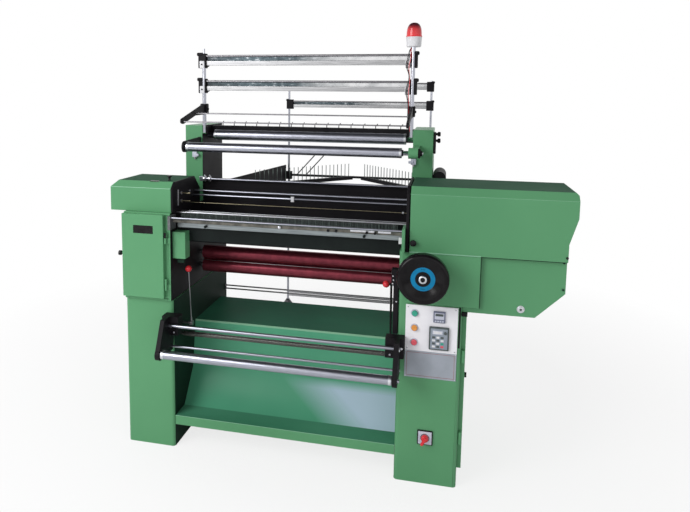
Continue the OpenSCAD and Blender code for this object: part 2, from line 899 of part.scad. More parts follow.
module panel_displays() place() color(grey) {
    block(counter_x, counter_x + counter_size, -panel_t - counter_t, -panel_t, counter_z,
          counter_z + counter_size);
    block(keypad_x, keypad_x + keypad_w, -panel_t - keypad_t, -panel_t, keypad_z, keypad_z + keypad_h);
}

module push_button(i) {
    z = button_z - i * button_gap;
    face = -panel_t - button_travel - seat;
    y_rod(button_stem_r, face - button_cap / 2, col_wall + button_cap, button_x, z);
    y_rod(button_d / 2, face - button_cap, face, button_x, z);
}

module start_button() place() color(teal) push_button(0);

module jog_button() place() color(orange) push_button(1);

module stop_button() place() color(pink) push_button(2);

module switch_plate() place() color(white) difference() {
    block(switch_x - switch_size / 2, switch_x + switch_size / 2, -switch_t, 0,
          switch_z - switch_size / 2, switch_z + switch_size / 2);
    y_rod(switch_stem_r + fit, -switch_t - cut, cut, switch_x, switch_z);
}

module switch_knob() place() color(red) {
    face = -switch_t - seat;
    y_rod(switch_stem_r, face - cut, col_wall, switch_x, switch_z);
    y_rod(switch_hub_r, face - switch_hub_t, face, switch_x, switch_z);
    translate([switch_x, face - 2 * switch_grip[1], switch_z]) rotate([0, switch_turn, 0])
        translate([-switch_grip_back, 0, -switch_grip[2] / 2]) cube(switch_grip);
}

// Side door and the fixed hinge leaves of both doors
module side_door() place() color(green) {
    z1 = side_door_z + side_door_h;
    difference() {
        block(side_x + seat, side_door_x1, side_door_y0, side_door_y1, side_door_z, z1);
        block(side_x, side_door_x1 - sheet_t, side_door_y0 + sheet_t, side_door_y1 - sheet_t,
              side_door_z + sheet_t, z1 - sheet_t);
    }
    for (z = hinge_zs) difference() {
        union() {
            z_rod(hinge_r, z, z + hinge_len, hinge_x, hinge_y);
            block(hinge_x - hinge_leaf_t / 2, hinge_x + hinge_leaf_t / 2, hinge_y, side_door_y0 + sheet_t, z,
                  z + hinge_len);
        }
        z_rod(hinge_pin_r + fit, z - cut, z + hinge_len + cut, hinge_x, hinge_y);
    }
    x_rod(latch_stem_r, side_door_x1 - cut, side_door_x1 + latch_len, side_knob_y, side_knob_z);
    x_rod(side_knob_r, side_door_x1 + latch_len, side_door_x1 + 2 * latch_len, side_knob_y, side_knob_z);
}

module door_hinges() place() color(green) {
    for (z = hinge_zs) {
        z_rod(hinge_pin_r, z - hinge_len, z + hinge_len, hinge_x, hinge_y);
        z_rod(hinge_r, z - hinge_len, z - seat, hinge_x, hinge_y);
        block(side_x, hinge_x, hinge_y - hinge_leaf_t / 2, hinge_y + hinge_leaf_t / 2, z - hinge_len,
              z - seat);
    }
    for (z = door_knuckles) {
        z_rod(door_pin_r, z - hinge_len, z + hinge_len, door_hinge_x, door_hinge_y);
        z_rod(door_barrel_r, z - hinge_len, z - seat, door_hinge_x, door_hinge_y);
        block(door_hinge_x - door_leaf_t / 2, door_hinge_x + door_leaf_t / 2, door_hinge_y, box_front,
              z - hinge_len, z - seat);
        block(door_hinge_x - door_leaf_t / 2, box_x1, box_front - door_leaf_t, box_front, z - hinge_len,
              z - seat);
    }
}

// Take-up frame in front of the columns
module takeup_side() {
    difference() {
        union() {
            block(-bracket_over, bracket_in, -bracket_d, 0, bracket_z0, bracket_z1);
            along_x(arm_in - arm_t, arm_in)
                polygon([[0, bracket_z0], [0, bracket_z1], [-arm_nose, bracket_z1],
                         [roller_y - takeup_end_r, roller_z], [roller_y, roller_z - takeup_end_r],
                         [arm_low_y[0], arm_low_z], [arm_low_y[1], arm_low_z]]);
            x_rod(takeup_end_r, arm_in - arm_t, arm_in, roller_y, roller_z);
        }
        x_rod(takeup_bar_d / 2 + fit, -bracket_over - cut, bracket_in + cut, bar_y, bar_z);
        x_rod(thin_d / 2 + fit, -bracket_over - cut, bracket_in + cut, thin_y, thin_z);
        x_rod(takeup_journal_r + fit, -bracket_over - cut, bracket_in + cut, roller_y, roller_z);
    }
}

module takeup_brackets() place() color(black) {
    translate([x_l, 0, 0]) takeup_side();
    translate([x_r, 0, 0]) mirror([1, 0, 0]) takeup_side();
}

module takeup_bars() place() color(chrome) {
    x_rod(takeup_bar_d / 2, takeup_x0 - arm_t - bar_end, takeup_x1 + arm_t + bar_end, bar_y, bar_z);
    x_rod(thin_d / 2, takeup_x0 - arm_t - thin_end, takeup_x1 + arm_t + thin_end, thin_y, thin_z);
}

module ribbed_shaft() place() color(chrome) {
    x_rod(ribbed_journal_r, x_l - col_wall, x_r + col_wall, ribbed_y, ribbed_z);
    difference() {
        x_rod(ribbed_d / 2, x_l + ribbed_in, x_r - ribbed_in, ribbed_y, ribbed_z);
        for (a = [0 : rib_step : 360 - rib_step]) translate([0, ribbed_y, ribbed_z]) rotate([a, 0, 0])
            block(x_l, x_r, -rib_w / 2, rib_w / 2, ribbed_d / 2 - rib_deep, ribbed_d);
    }
}

module takeup_roller() place() color(chrome) {
    x_rod(takeup_d / 2, takeup_x0 + takeup_gap, takeup_x1 - takeup_gap, roller_y, roller_z);
    x_rod(takeup_journal_r, takeup_x0 - arm_t - journal_end, takeup_x1 + arm_t + journal_end, roller_y,
          roller_z);
}

// Ball lever on its stud, with the ball set off sideways
module ball_lever(x, offset_x) {
    rod_x = lever_hub_w / 2;
    translate([x, lever_y, lever_z]) rotate([lever_lean, 0, 0]) difference() {
        union() {
            x_rod(lever_hub_r, 0, lever_hub_w, 0, 0);
            z_rod(lever_rod_r, 0, lever_len, rod_x, 0);
            if (offset_x != 0) x_rod(lever_rod_r, rod_x + offset_x, rod_x, 0, lever_len);
            translate([rod_x + offset_x, 0, lever_len]) rotate([0, 0, 90]) sphere(d = ball_d);
        }
        x_rod(lever_stud_r + fit, -cut, lever_hub_w + cut, 0, 0);
    }
}

module left_lever() place() color(red) ball_lever(x_l + lever_in_l, 0);

module right_lever() place() color(red) ball_lever(x_r - lever_in_r - lever_hub_w, lever_offset);

// Rollers
module nip_roller(z) {
    x_rod(nip_d / 2, x_l + nip_end, x_r - nip_end, nip_y, z);
    x_rod(journal_r, box_x1 - box_wall, x_r + col_wall, nip_y, z);
}

module lower_roller() place() color(maroon) nip_roller(nip_zs[0]);

module upper_nip_roller() place() color(maroon) nip_roller(nip_zs[1]);

module upper_roller() place() color(chrome) {
    x_rod(upper_roller_d / 2, upper_in_l + upper_roll_in, upper_in_r - upper_roll_in, upper_roll_y,
          upper_roll_z);
    x_rod(journal_r, upper_in_l - upper_wall, upper_in_r + upper_wall, upper_roll_y, upper_roll_z);
}

module guide_roller() place() color(chrome) {
    x_rod(guide_roller_d / 2, guide_x0, guide_x1, guide_y, guide_z);
    x_rod(journal_r, guide_arm_x0, housing_x1, guide_y, guide_z);
}

module roller_arms() place() color(green) difference() {
    union() {
        along_x(guide_arm_x0, guide_arm_x1)
            polygon([[guide_y, guide_z - guide_arm_r], [upper_y, guide_z + guide_arm_root[0]],
                     [upper_y, guide_z + guide_arm_root[1]], [guide_y, guide_z + guide_arm_r]]);
        x_rod(guide_arm_r, guide_arm_x0, guide_arm_x1, guide_y, guide_z);
        x_rod(housing_r, housing_x0, housing_x1, guide_y, guide_z);
        block(housing_x0 + housing_neck, housing_x1, guide_y, upper_y, guide_z - housing_neck_h / 2,
              guide_z + housing_neck_h / 2);
    }
    x_rod(journal_r + fit, guide_arm_x0 - cut, guide_arm_x1 + cut, guide_y, guide_z);
    x_rod(journal_r + fit, housing_x0 - cut, housing_x1 + cut, guide_y, guide_z);
}

// Needle zone
module needle_bed() place() color(black) {
    along_x(box_x1, x_r) difference() {
        polygon([[bed_y, bed_front_z], [bed_low_y, bed_low_z], [bed_back, bed_low_z], [bed_back, bed_top],
                 [bed_y + lip_t, bed_top], [bed_y + lip_t, lip_top], [bed_y, lip_top]]);
        polygon([[bed_y + bed_wall, bed_front_z + bed_wall], [bed_low_y, bed_low_z + bed_wall],
                 [bed_back - bed_wall, bed_low_z + bed_wall], [bed_back - bed_wall, bed_top - bed_wall],
                 [bed_y + bed_wall, bed_top - bed_wall]]);
    }
    for (x = [-needle_pin_x, needle_pin_x])
        y_rod(needle_pin_r, needle_y - needle_travel - needle_pin_over, bed_y, x, needle_z);
}

module needle_bar() place() color(chrome) {
    x0 = box_x1 + bracket_l_w + needle_end;
    x1 = bracket_r_x - needle_end;
    top = needle_z + needle_bar_h / 2;
    difference() {
        block(x0, x1, needle_y, needle_y + needle_t, needle_z - needle_bar_h / 2, top);
        for (x = [-needle_pin_x, needle_pin_x])
            y_rod(needle_pin_r + fit, needle_y - cut, needle_y + needle_t + cut, x, needle_z);
    }
    for (x = [x0 + needle_margin : needle_pitch : x1 - needle_margin]) along_x(x, x + needle_blade)
        polygon([[needle_y + needle_root[0], top - cut], [needle_y + needle_root[1], top - cut],
                 [needle_y + needle_tip[1], needle_tip_z], [needle_y + needle_tip[0], needle_tip_z]]);
}

module needle_brackets() place() color(green) {
    block(box_x1, box_x1 + bracket_l_w, rod_y - rod_post, bracket_l_back, needle_z - bracket_drop,
          rod_z + rod_cap);
    block(box_x1, box_x1 + stand_w, stand_y, bed_y, stand_z0, stand_z1);
    block(bracket_r_x, bracket_r_x + bracket_r_w, rod_y - rod_post, bed_y, deck_h, rod_z + rod_cap);
}

module front_rods() place() color(chrome) {
    x_rod(rod_r, box_x1 + bracket_l_w, bracket_r_x, rod_y, rod_z);
    block(box_x1 + bracket_l_w, bracket_r_x, strip_y[0], strip_y[1], strip_z, strip_z + strip_h);
}

module weft_bar(at) {
    x_rod(weft_r, left_hood_x1 - weft_end, plate_r_x + plate_r_t + weft_end, at[0], at[1]);
}

module weft_bar_front() place() color(chrome) {
    weft_bar(weft_front);
    block(weft_clamp_x - weft_clamp_w / 2, weft_clamp_x + weft_clamp_w / 2,
          weft_front[0] - weft_r - weft_clamp_d, weft_front[0], weft_front[1] - weft_clamp_h / 2,
          weft_front[1] + weft_clamp_h / 2);
}

module weft_bar_rear() place() color(chrome) weft_bar(weft_rear);

module cross_beam() place() color(black) {
    block(upper_in_l, upper_in_r, bed_back, bed_back + cross_t, box_top, cross_z1);
    block(box_x1, upper_in_r, bed_back, bed_back + cross_t, deck_h, box_top);
    x_rod(top_rod_r, top_hold_l[1], top_hold_r[0], top_rod_y, top_rod_z);
    for (x = [top_hold_l, top_hold_r])
        block(x[0], x[1], top_hold_y, upper_y, top_rod_z - top_hold_h / 2, top_rod_z + top_hold_h / 2);
}

// Upper columns with the lugs that hold the posts
module upper_column(x0, z0, lug_x, post_x) {
    difference() {
        union() {
            block(x0, x0 + upper_w, upper_y, upper_y + upper_d, z0, upper_top);
            block(lug_x, lug_x + lug_in, upper_y, post_y + post_r + lug_back, post_z0, post_z0 + lug_h);
        }
        block(x0 + upper_wall, x0 + upper_w - upper_wall, upper_y + upper_wall,
              upper_y + upper_d - upper_wall, z0 + upper_wall, upper_top - upper_wall);
        x_rod(journal_r + fit, x0 - cut, x0 + upper_w + cut, upper_roll_y, upper_roll_z);
        z_rod(post_r + fit, post_z0 + lug_floor, upper_top, post_x, post_y);
    }
}

module left_upper_column() place() color(green)
    upper_column(upper_in_l - upper_w, box_top, upper_in_l, post_xs[0]);

module right_upper_column() place() color(green)
    upper_column(upper_in_r, deck_h, upper_in_r - lug_in, post_xs[1]);

module hook_beam() place() color(black) {
    block(upper_in_l, upper_in_r, hook_y, hook_y + hook_beam_d, hook_beam_z0, hook_beam_z1);
    for (x = [upper_in_l + hook_margin : hook_pitch : upper_in_r - hook_margin])
        translate([x, hook_y + hook_in, hook_beam_z1 - cut]) {
            cylinder(r = hook_r, h = hook_stem + cut);
            translate([0, 0, hook_stem]) rotate([hook_bend, 0, hook_turn]) cylinder(r = hook_r, h = hook_len);
        }
}

// Posts, yarn rails and yarn arms
module front_posts() place() color(chrome)
    for (x = post_xs) z_rod(post_r, post_z0 + lug_floor + seat, post_top, x, post_y);

// One yarn rail between two posts: end blocks, rod, eyelet band and bar
module yarn_rail(xs, y, z, r) {
    z0 = z - rail_block_low;
    for (x = xs) difference() {
        block(x - rail_block_w / 2, x + rail_block_w / 2, y - rail_block_d / 2, y + rail_block_d / 2, z0,
              z0 + rail_block_h);
        z_rod(r + fit, z0 - cut, z0 + rail_block_h + cut, x, y);
    }
    x0 = xs[0] + rail_block_w / 2;
    x1 = xs[1] - rail_block_w / 2;
    x_rod(rail_rod_r, x0, x1, y + rail_rod_at[0], z + rail_rod_at[1]);
    block(x0, x1, y + band_y[0], y + band_y[1], z, z + band_h);
    block(x0, x1, y + rail_bar_y[0], y + rail_bar_y[1], z + rail_bar_z[0], z + rail_bar_z[1]);
}

module yarn_rails() place() color(chrome) for (z = rail_zs) yarn_rail(post_xs, post_y, z, post_r);

module yarn_arms() place() color(black) {
    for (x = post_xs) difference() {
        union() {
            block(x - arm_hub_w / 2, x + arm_hub_w / 2, post_y - arm_hub_d / 2, post_y + arm_hub_d / 2,
                  arm_hub_z0, arm_hub_z1);
            along_x(x - arm_plate_t / 2, x + arm_plate_t / 2)
                polygon([[post_y - arm_hub_d / 2 + cut, arm_hub_z0],
                         [post_y - arm_hub_d / 2 + cut, arm_hub_z1], arm_tip + [-arm_nib, arm_nib],
                         arm_tip + [-arm_nib, -arm_nib / 2], arm_tip + [arm_nib, -arm_nib],
                         arm_mid + [0, -arm_nib]]);
        }
        z_rod(post_r + fit, arm_hub_z0 - cut, arm_hub_z1 + cut, x, post_y);
    }
    for (p = [arm_tip, arm_mid])
        x_rod(arm_rod_r, post_xs[0] + arm_plate_t / 2, post_xs[1] - arm_plate_t / 2, p[0], p[1]);
}

// Signal lamp and its cable
module lamp_base() place() color(white) translate([post_xs[1], post_y, post_top]) rotate_extrude()
    polygon([[0, 0], [lamp_d / 2 - lamp_foot_in, 0], [lamp_d / 2 - lamp_flare, lamp_foot_h],
             [lamp_d / 2, lamp_base_h], [0, lamp_base_h]]);

module lamp_dome() place() color(red) translate([post_xs[1], post_y, post_top + lamp_base_h])
    rotate_extrude() intersection() {
        h = lamp_h - lamp_base_h;
        r = lamp_d / 2 - lamp_flare;
        union() {
            square([r, h - r]);
            translate([0, h - r]) circle(r = r);
        }
        square([r, h]);
    }

module lamp_cable() place() color(black) {
    points = [[cable_x, cable_y, post_top], [cable_x, cable_y, arm_hub_z0 - arm_hub_h],
              [cable_low_x, cable_low_y, post_z0 + lug_h], [cable_low_x, cable_low_y, post_z0 + lug_floor]];
    for (i = [0 : len(points) - 2]) {
        run = points[i + 1] - points[i];
        translate(points[i]) rotate([0, acos(run[2] / norm(run)), atan2(run[1], run[0])])
            cylinder(r = cable_r, h = norm(run), $fn = 16);
        if (i > 0) translate(points[i]) sphere(r = cable_bend_r, $fn = 16);
    }
}

// Rear creel
module creel_posts() place() color(chrome) for (x = creel_xs) {
    z_rod(creel_r, 0, creel_h, x, creel_y);
    translate([x, creel_y, 0]) rotate_extrude()
        polygon([[0, 0], [creel_foot_r, 0], [creel_foot_r, creel_foot_rim],
                 [creel_r + creel_foot_neck, creel_foot_h], [0, creel_foot_h]]);
}

module creel_rods() place() color(chrome) {
    x0 = creel_xs[0] + clamp_w / 2;
    x1 = creel_xs[1] - clamp_w / 2;
    for (drop = creel_rail_drops) yarn_rail(creel_xs, creel_y, creel_h - drop, creel_r);
    block(x0, x1, creel_y - creel_bar / 2, creel_y + creel_bar / 2, creel_bar_z - creel_bar, creel_bar_z);
    for (z = tie_zs) x_rod(tie_r, creel_xs[0] + creel_r, creel_xs[1] - creel_r, creel_y, z);
    for (x = feeler_xs) translate([x0 + x, creel_y, creel_bar_z - feeler_r]) rotate([0, feeler_lean, 0])
        cylinder(r = feeler_r, h = feeler_len);
}

module creel_side_plates() place() color(black) for (i = [0, 1]) {
    slant_bar([side_front_x[i], col_d], [side_rear_x[i], side_rear_y], side_t, side_top - side_h, side_top);
    difference() {
        block(creel_xs[i] - clamp_w / 2, creel_xs[i] + clamp_w / 2, creel_y - clamp_d / 2,
              creel_y + clamp_d / 2, clamp_z0, clamp_z1);
        z_rod(creel_r + fit, clamp_z0 - cut, clamp_z1 + cut, creel_xs[i], creel_y);
    }
}

// Middle of a side plate at a depth y
function side_x_at(i, y) =
    side_front_x[i] + (side_rear_x[i] - side_front_x[i]) * (y - col_d) / (side_rear_y - col_d);

// Two pin bars that run from the side plates to the middle of the creel
module creel_wings() place() color(black) for (i = [0, 1]) {
    s = i == 0 ? -1 : 1;
    a = [side_x_at(i, wing_y) - s * (side_t + wing_w) / 2, wing_y];
    b = [creel_x + s * apex_gap, creel_y - creel_bar / 2];
    slant_bar(a, b, wing_w, creel_bar_z - wing_h, creel_bar_z);
    for (k = [0 : pin_count - 1]) {
        p = a + (b - a) * (k + 0.5) / pin_count;
        z_rod(pin_r, creel_bar_z - cut, creel_bar_z + pin_len, p[0], p[1], $fn = 16);
    }
}

left_column();
right_column();
rear_beam();
chute_tray();
left_gearbox();
left_door();
left_hood();
end_plates();
right_hood();
right_lower_cover();
drive_panel();
cover_knobs();
handwheel();
main_shaft();
main_pulley();
cam_shaft();
motor();
motor_pulley();
drive_belt();
control_panel();
nameplate();
panel_displays();
start_button();
jog_button();
stop_button();
switch_plate();
switch_knob();
side_door();
door_hinges();
takeup_brackets();
takeup_bars();
ribbed_shaft();
takeup_roller();
left_lever();
right_lever();
lower_roller();
upper_nip_roller();
needle_bed();
needle_bar();
needle_brackets();
front_rods();
weft_bar_front();
weft_bar_rear();
cross_beam();
left_upper_column();
right_upper_column();
upper_roller();
guide_roller();
roller_arms();
hook_beam();
front_posts();
yarn_rails();
yarn_arms();
lamp_base();
lamp_dome();
lamp_cable();
creel_posts();
creel_rods();
creel_wings();
creel_side_plates();
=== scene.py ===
import json
import math
import bmesh
import bpy
from mathutils import Matrix, Vector

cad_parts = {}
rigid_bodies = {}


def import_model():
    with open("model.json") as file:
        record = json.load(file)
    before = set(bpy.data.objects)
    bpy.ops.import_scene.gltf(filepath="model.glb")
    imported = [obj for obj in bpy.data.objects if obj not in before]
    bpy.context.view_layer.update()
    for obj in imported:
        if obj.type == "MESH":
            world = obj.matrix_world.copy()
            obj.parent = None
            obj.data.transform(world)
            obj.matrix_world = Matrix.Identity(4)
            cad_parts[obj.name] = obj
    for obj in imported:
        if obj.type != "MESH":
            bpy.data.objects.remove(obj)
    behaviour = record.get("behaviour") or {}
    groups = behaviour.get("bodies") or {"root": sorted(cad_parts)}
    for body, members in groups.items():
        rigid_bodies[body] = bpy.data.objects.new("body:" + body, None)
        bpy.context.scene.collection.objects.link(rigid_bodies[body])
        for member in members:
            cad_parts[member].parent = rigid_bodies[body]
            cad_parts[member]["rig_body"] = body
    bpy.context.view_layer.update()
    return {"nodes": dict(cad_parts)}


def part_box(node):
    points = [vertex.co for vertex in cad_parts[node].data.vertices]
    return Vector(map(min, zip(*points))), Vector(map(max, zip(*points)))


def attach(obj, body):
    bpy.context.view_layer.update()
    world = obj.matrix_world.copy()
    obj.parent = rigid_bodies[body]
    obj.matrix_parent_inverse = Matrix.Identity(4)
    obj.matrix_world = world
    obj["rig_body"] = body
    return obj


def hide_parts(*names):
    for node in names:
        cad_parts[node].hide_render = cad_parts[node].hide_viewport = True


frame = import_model()
nodes = frame["nodes"]
mm = 0.001
sharpFrom, cornerFrom = math.radians(38), math.radians(28)  # creases kept crisp, edges that get rounded
shortEdge = 0.004
axisX, axisY, axisZ = Vector((1, 0, 0)), Vector((0, 1, 0)), Vector((0, 0, 1))
trayLow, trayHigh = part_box("chute_tray")
gapMiddle = (trayLow.x + trayHigh.x) / 2  # x of the middle between the columns
gapHalf = (trayHigh.x - trayLow.x) / 2 / mm
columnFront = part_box("right_column")[0].y
print("frame loaded,", len(nodes), "nodes")


def at(x, y, z):  # millimetres from the gap's middle, the column fronts and the floor
    return Vector((gapMiddle + x * mm, columnFront + y * mm, z * mm))


def where(face):
    spot = face.calc_center_median()
    return Vector(((spot.x - gapMiddle) / mm, (spot.y - columnFront) / mm, spot.z / mm))


# node helpers for the finishes
def addNode(tree, kind, inputs, **options):  # outputs are linked to the named inputs, numbers set on them
    node = tree.nodes.new("ShaderNode" + kind)
    for option, value in options.items():
        setattr(node, option, value)
    for name, value in inputs.items():
        if isinstance(value, bpy.types.NodeSocket):
            tree.links.new(value, node.inputs[name])
        else:
            node.inputs[name].default_value = value
    return node


def finishNodes(name):
    material = bpy.data.materials.new(name)
    material.use_nodes = True
    tree = material.node_tree
    return tree.nodes["Principled BSDF"], addNode(tree, "TexCoord", {}).outputs["Object"]


def noiseNode(place, scale, detail=3.0, stretch=(1, 1, 1)):
    tree = place.id_data
    spot = addNode(tree, "Mapping", {"Vector": place, "Scale": stretch}).outputs["Vector"]
    return addNode(tree, "TexNoise", {"Vector": spot, "Scale": scale, "Detail": detail}).outputs["Fac"]


def rampNode(factor, stops):
    ramp = addNode(factor.id_data, "ValToRGB", {"Fac": factor})
    elements = ramp.color_ramp.elements
    while len(elements) < len(stops):
        elements.new(0.5)
    for element, (position, colour) in zip(elements, stops):
        element.position = position
        element.color = (*colour, 1)
    return ramp.outputs["Color"]


def rangeNode(factor, low, high, start=0.0, end=1.0):
    limits = {"From Min": start, "From Max": end, "To Min": low, "To Max": high}
    return addNode(factor.id_data, "MapRange", {"Value": factor, **limits}).outputs["Result"]


def mixNode(factor, first, second):
    return addNode(factor.id_data, "Mix", {0: factor, 6: first, 7: second}, data_type="RGBA").outputs[2]


def mathNode(operation, first, second):
    return addNode(first.id_data, "Math", {0: first, 1: second}, operation=operation).outputs[0]


def axisNode(place, axis):
    return addNode(place.id_data, "SeparateXYZ", {"Vector": place}).outputs[axis]


def surfaceNodes(shader, tint, rough, marks, strength, distance=0.0003):
    tree = shader.id_data
    bump = addNode(tree, "Bump", {"Strength": strength, "Distance": distance, "Height": marks})
    for name, output in (("Base Color", tint), ("Roughness", rough), ("Normal", bump.outputs["Normal"])):
        tree.links.new(output, shader.inputs[name])


def paintFinish(name, light, dark, rough, gloss=0.22, peel=0.06, cloud=1.8):  # brushed-on or sprayed paint
    shader, place = finishNodes(name)
    tint = rampNode(noiseNode(place, cloud, 4), [(0.32, dark), (0.68, light)])
    sheen = rangeNode(noiseNode(place, 7, 5), *rough)
    surfaceNodes(shader, tint, sheen, noiseNode(place, 260, 2), peel)  # orange peel
    shader.inputs["Specular IOR Level"].default_value = gloss


def metalFinish(name, light, dark, rough, stretch, scale=60, marks=0.05):  # ground or turned along one axis
    shader, place = finishNodes(name)
    grain = noiseNode(place, scale, 4, stretch)
    tint = rampNode(grain, [(0.3, dark), (0.7, light)])
    surfaceNodes(shader, tint, rangeNode(grain, *rough), grain, marks)
    shader.inputs["Metallic"].default_value = 1


def plasticFinish(name, light, dark, rough, gloss=0.35, grain=500, marks=0.03, metal=0.0):
    shader, place = finishNodes(name)
    speck = noiseNode(place, 40, 3)
    tint = rampNode(speck, [(0.35, dark), (0.65, light)])
    surfaceNodes(shader, tint, rangeNode(speck, *rough), noiseNode(place, grain, 2), marks)
    shader.inputs["Specular IOR Level"].default_value = gloss
    shader.inputs["Metallic"].default_value = metal


def trayFinish(name):  # enamel with a pale painted reflection at the lower right of the slope
    # pale and paleDim colour the painted reflection; slant, edge and top bound it
    settings = {"light": (0.100, 0.395, 0.232), "dark": (0.072, 0.318, 0.186), "pale": (0.52, 0.67, 0.80),
                "paleDim": (0.44, 0.59, 0.70), "slant": (1, 0, 1.42), "edge": (0.18, 0.42),
                "top": (0.270, 0.306), "rough": (0.34, 0.26), "gloss": 0.25}
    shader, place = finishNodes(name)
    cloud = noiseNode(place, 1.6, 3)
    paint = rampNode(cloud, [(0.35, settings["dark"]), (0.65, settings["light"])])
    reflectionMottle = noiseNode(place, 3, 2)
    pale = rampNode(reflectionMottle, [(0.2, settings["paleDim"]), (0.9, settings["pale"])])
    # painted reflection: a pale patch on one side of a slanted line, cut off above the bend
    along = addNode(place.id_data, "VectorMath", {0: place, 1: settings["slant"]}, operation="DOT_PRODUCT")
    across = rangeNode(along.outputs["Value"], 0, 1, *settings["edge"])
    below = rangeNode(axisNode(place, "Z"), 1, 0, *settings["top"])
    paintedReflection = mathNode("MULTIPLY", across, below)
    surfaceNodes(shader, mixNode(paintedReflection, paint, pale), rangeNode(paintedReflection, *settings["rough"]),
                 noiseNode(place, 240, 2), 0.05)
    shader.inputs["Specular IOR Level"].default_value = settings["gloss"]


def lampFinish(name):  # moulded lens, deep red at the crown
    settings = {"span": (1.905, 1.960), "low": (0.80, 0.045, 0.050), "middle": (0.62, 0.022, 0.030),
                "high": (0.075, 0.016, 0.022), "rough": (0.12, 0.2)}
    shader, place = finishNodes(name)
    height = rangeNode(axisNode(place, "Z"), 0, 1, *settings["span"])
    tint = rampNode(height, [(0, settings["low"]), (0.45, settings["middle"]), (0.8, settings["high"])])
    ribs = noiseNode(place, 180, 1, (1, 1, 0.1))  # upright ribs inside the lens
    rough = rangeNode(noiseNode(place, 60, 2), *settings["rough"])
    surfaceNodes(shader, tint, rough, ribs, 0.15)


def bandFinish(name):  # polished eyelet sheet, darker towards its left end and paler towards its right end
    settings = {"darkX": (-0.68, -0.46), "brightX": (-0.22, 0.04), "rough": (0.18, 0.4), "metal": 0.9,
                "stain": [(0.2, (0.010, 0.011, 0.013)), (0.8, (0.030, 0.034, 0.038))],
                "mottle": [(0.30, (0.045, 0.062, 0.072)), (0.54, (0.10, 0.13, 0.145)),
                           (0.68, (0.48, 0.51, 0.54))],
                "sheet": [(0.3, (0.51, 0.52, 0.53)), (0.6, (0.76, 0.76, 0.77))]}
    shader, place = finishNodes(name)
    mottle = rampNode(noiseNode(place, 26, 5, (1, 1, 2.5)), settings["mottle"])
    stain = rampNode(noiseNode(place, 50, 4), settings["stain"])
    fade = rangeNode(axisNode(place, "X"), 1, 0, *settings["darkX"])
    sheet = rampNode(noiseNode(place, 24, 4), settings["sheet"])
    rightward = rangeNode(axisNode(place, "X"), 0, 1, *settings["brightX"])
    tint = mixNode(rightward, mixNode(fade, mottle, stain), sheet)
    rough = rangeNode(noiseNode(place, 30, 3), *settings["rough"])
    surfaceNodes(shader, tint, rough, noiseNode(place, 45, 3), 0.12)
    shader.inputs["Metallic"].default_value = settings["metal"]


def knurlFinish(name):  # shaft with fine spiral teeth
    shader, place = finishNodes(name)
    tree = place.id_data
    slant = addNode(tree, "Mapping", {"Vector": place, "Rotation": (0, 0.5, 0)}).outputs["Vector"]
    teeth = addNode(tree, "TexWave", {"Vector": slant, "Scale": 55, "Distortion": 0.6}).outputs["Fac"]
    tint = rampNode(teeth, [(0.3, (0.02, 0.02, 0.02)), (0.85, (0.30, 0.30, 0.28))])
    surfaceNodes(shader, tint, rangeNode(teeth, 0.5, 0.25), teeth, 0.5, 0.001)
    shader.inputs["Metallic"].default_value = 1


paints = {  # light, dark, roughness, then gloss, peel and cloud scale
    "greenEnamel": ((0.116, 0.338, 0.163), (0.099, 0.300, 0.144), (0.30, 0.42)),
    # darker green enamel: painted shade on the hood tops, and also the colour of the small cover screw heads
    "shadedTopAndScrewEnamel": ((0.044, 0.122, 0.072), (0.034, 0.096, 0.058), (0.55, 0.70), 0.03),
    # painted highlight: lighter enamel along folded edges
    "foldEnamel": ((0.26, 0.52, 0.34), (0.22, 0.46, 0.30), (0.25, 0.35)),
    # painted shade: darker enamel for the top of the tray's shelf
    "shadedShelfEnamel": ((0.034, 0.165, 0.096), (0.020, 0.108, 0.064), (0.45, 0.60), 0.04),
    # painted shade: darker enamel for the floor of the tray's trough
    "shadedTroughEnamel": ((0.066, 0.245, 0.145), (0.046, 0.195, 0.112), (0.35, 0.46), 0.12),
    "shadeEnamel": ((0.012, 0.034, 0.022), (0.008, 0.020, 0.014), (0.45, 0.60), 0.08),
    "blackPaint": ((0.013, 0.012, 0.014), (0.008, 0.007, 0.009), (0.42, 0.58), 0.12, 0.08, 9),
    "bedPaint": ((0.011, 0.016, 0.015), (0.007, 0.010, 0.010), (0.42, 0.58), 0.12, 0.08, 9),
    "panelPaint": ((0.95, 0.94, 0.98), (0.88, 0.87, 0.92), (0.35, 0.45), 0.2, 0.03, 14),
    "plateGrey": ((0.40, 0.43, 0.49), (0.34, 0.37, 0.42), (0.4, 0.5), 0.2, 0.04, 20),
    "borderRed": ((0.36, 0.16, 0.15), (0.30, 0.13, 0.12), (0.4, 0.5), 0.2, 0.04, 40),
    "stripTan": ((0.23, 0.22, 0.19), (0.08, 0.08, 0.07), (0.3, 0.5), 0.2, 0.05, 30)}
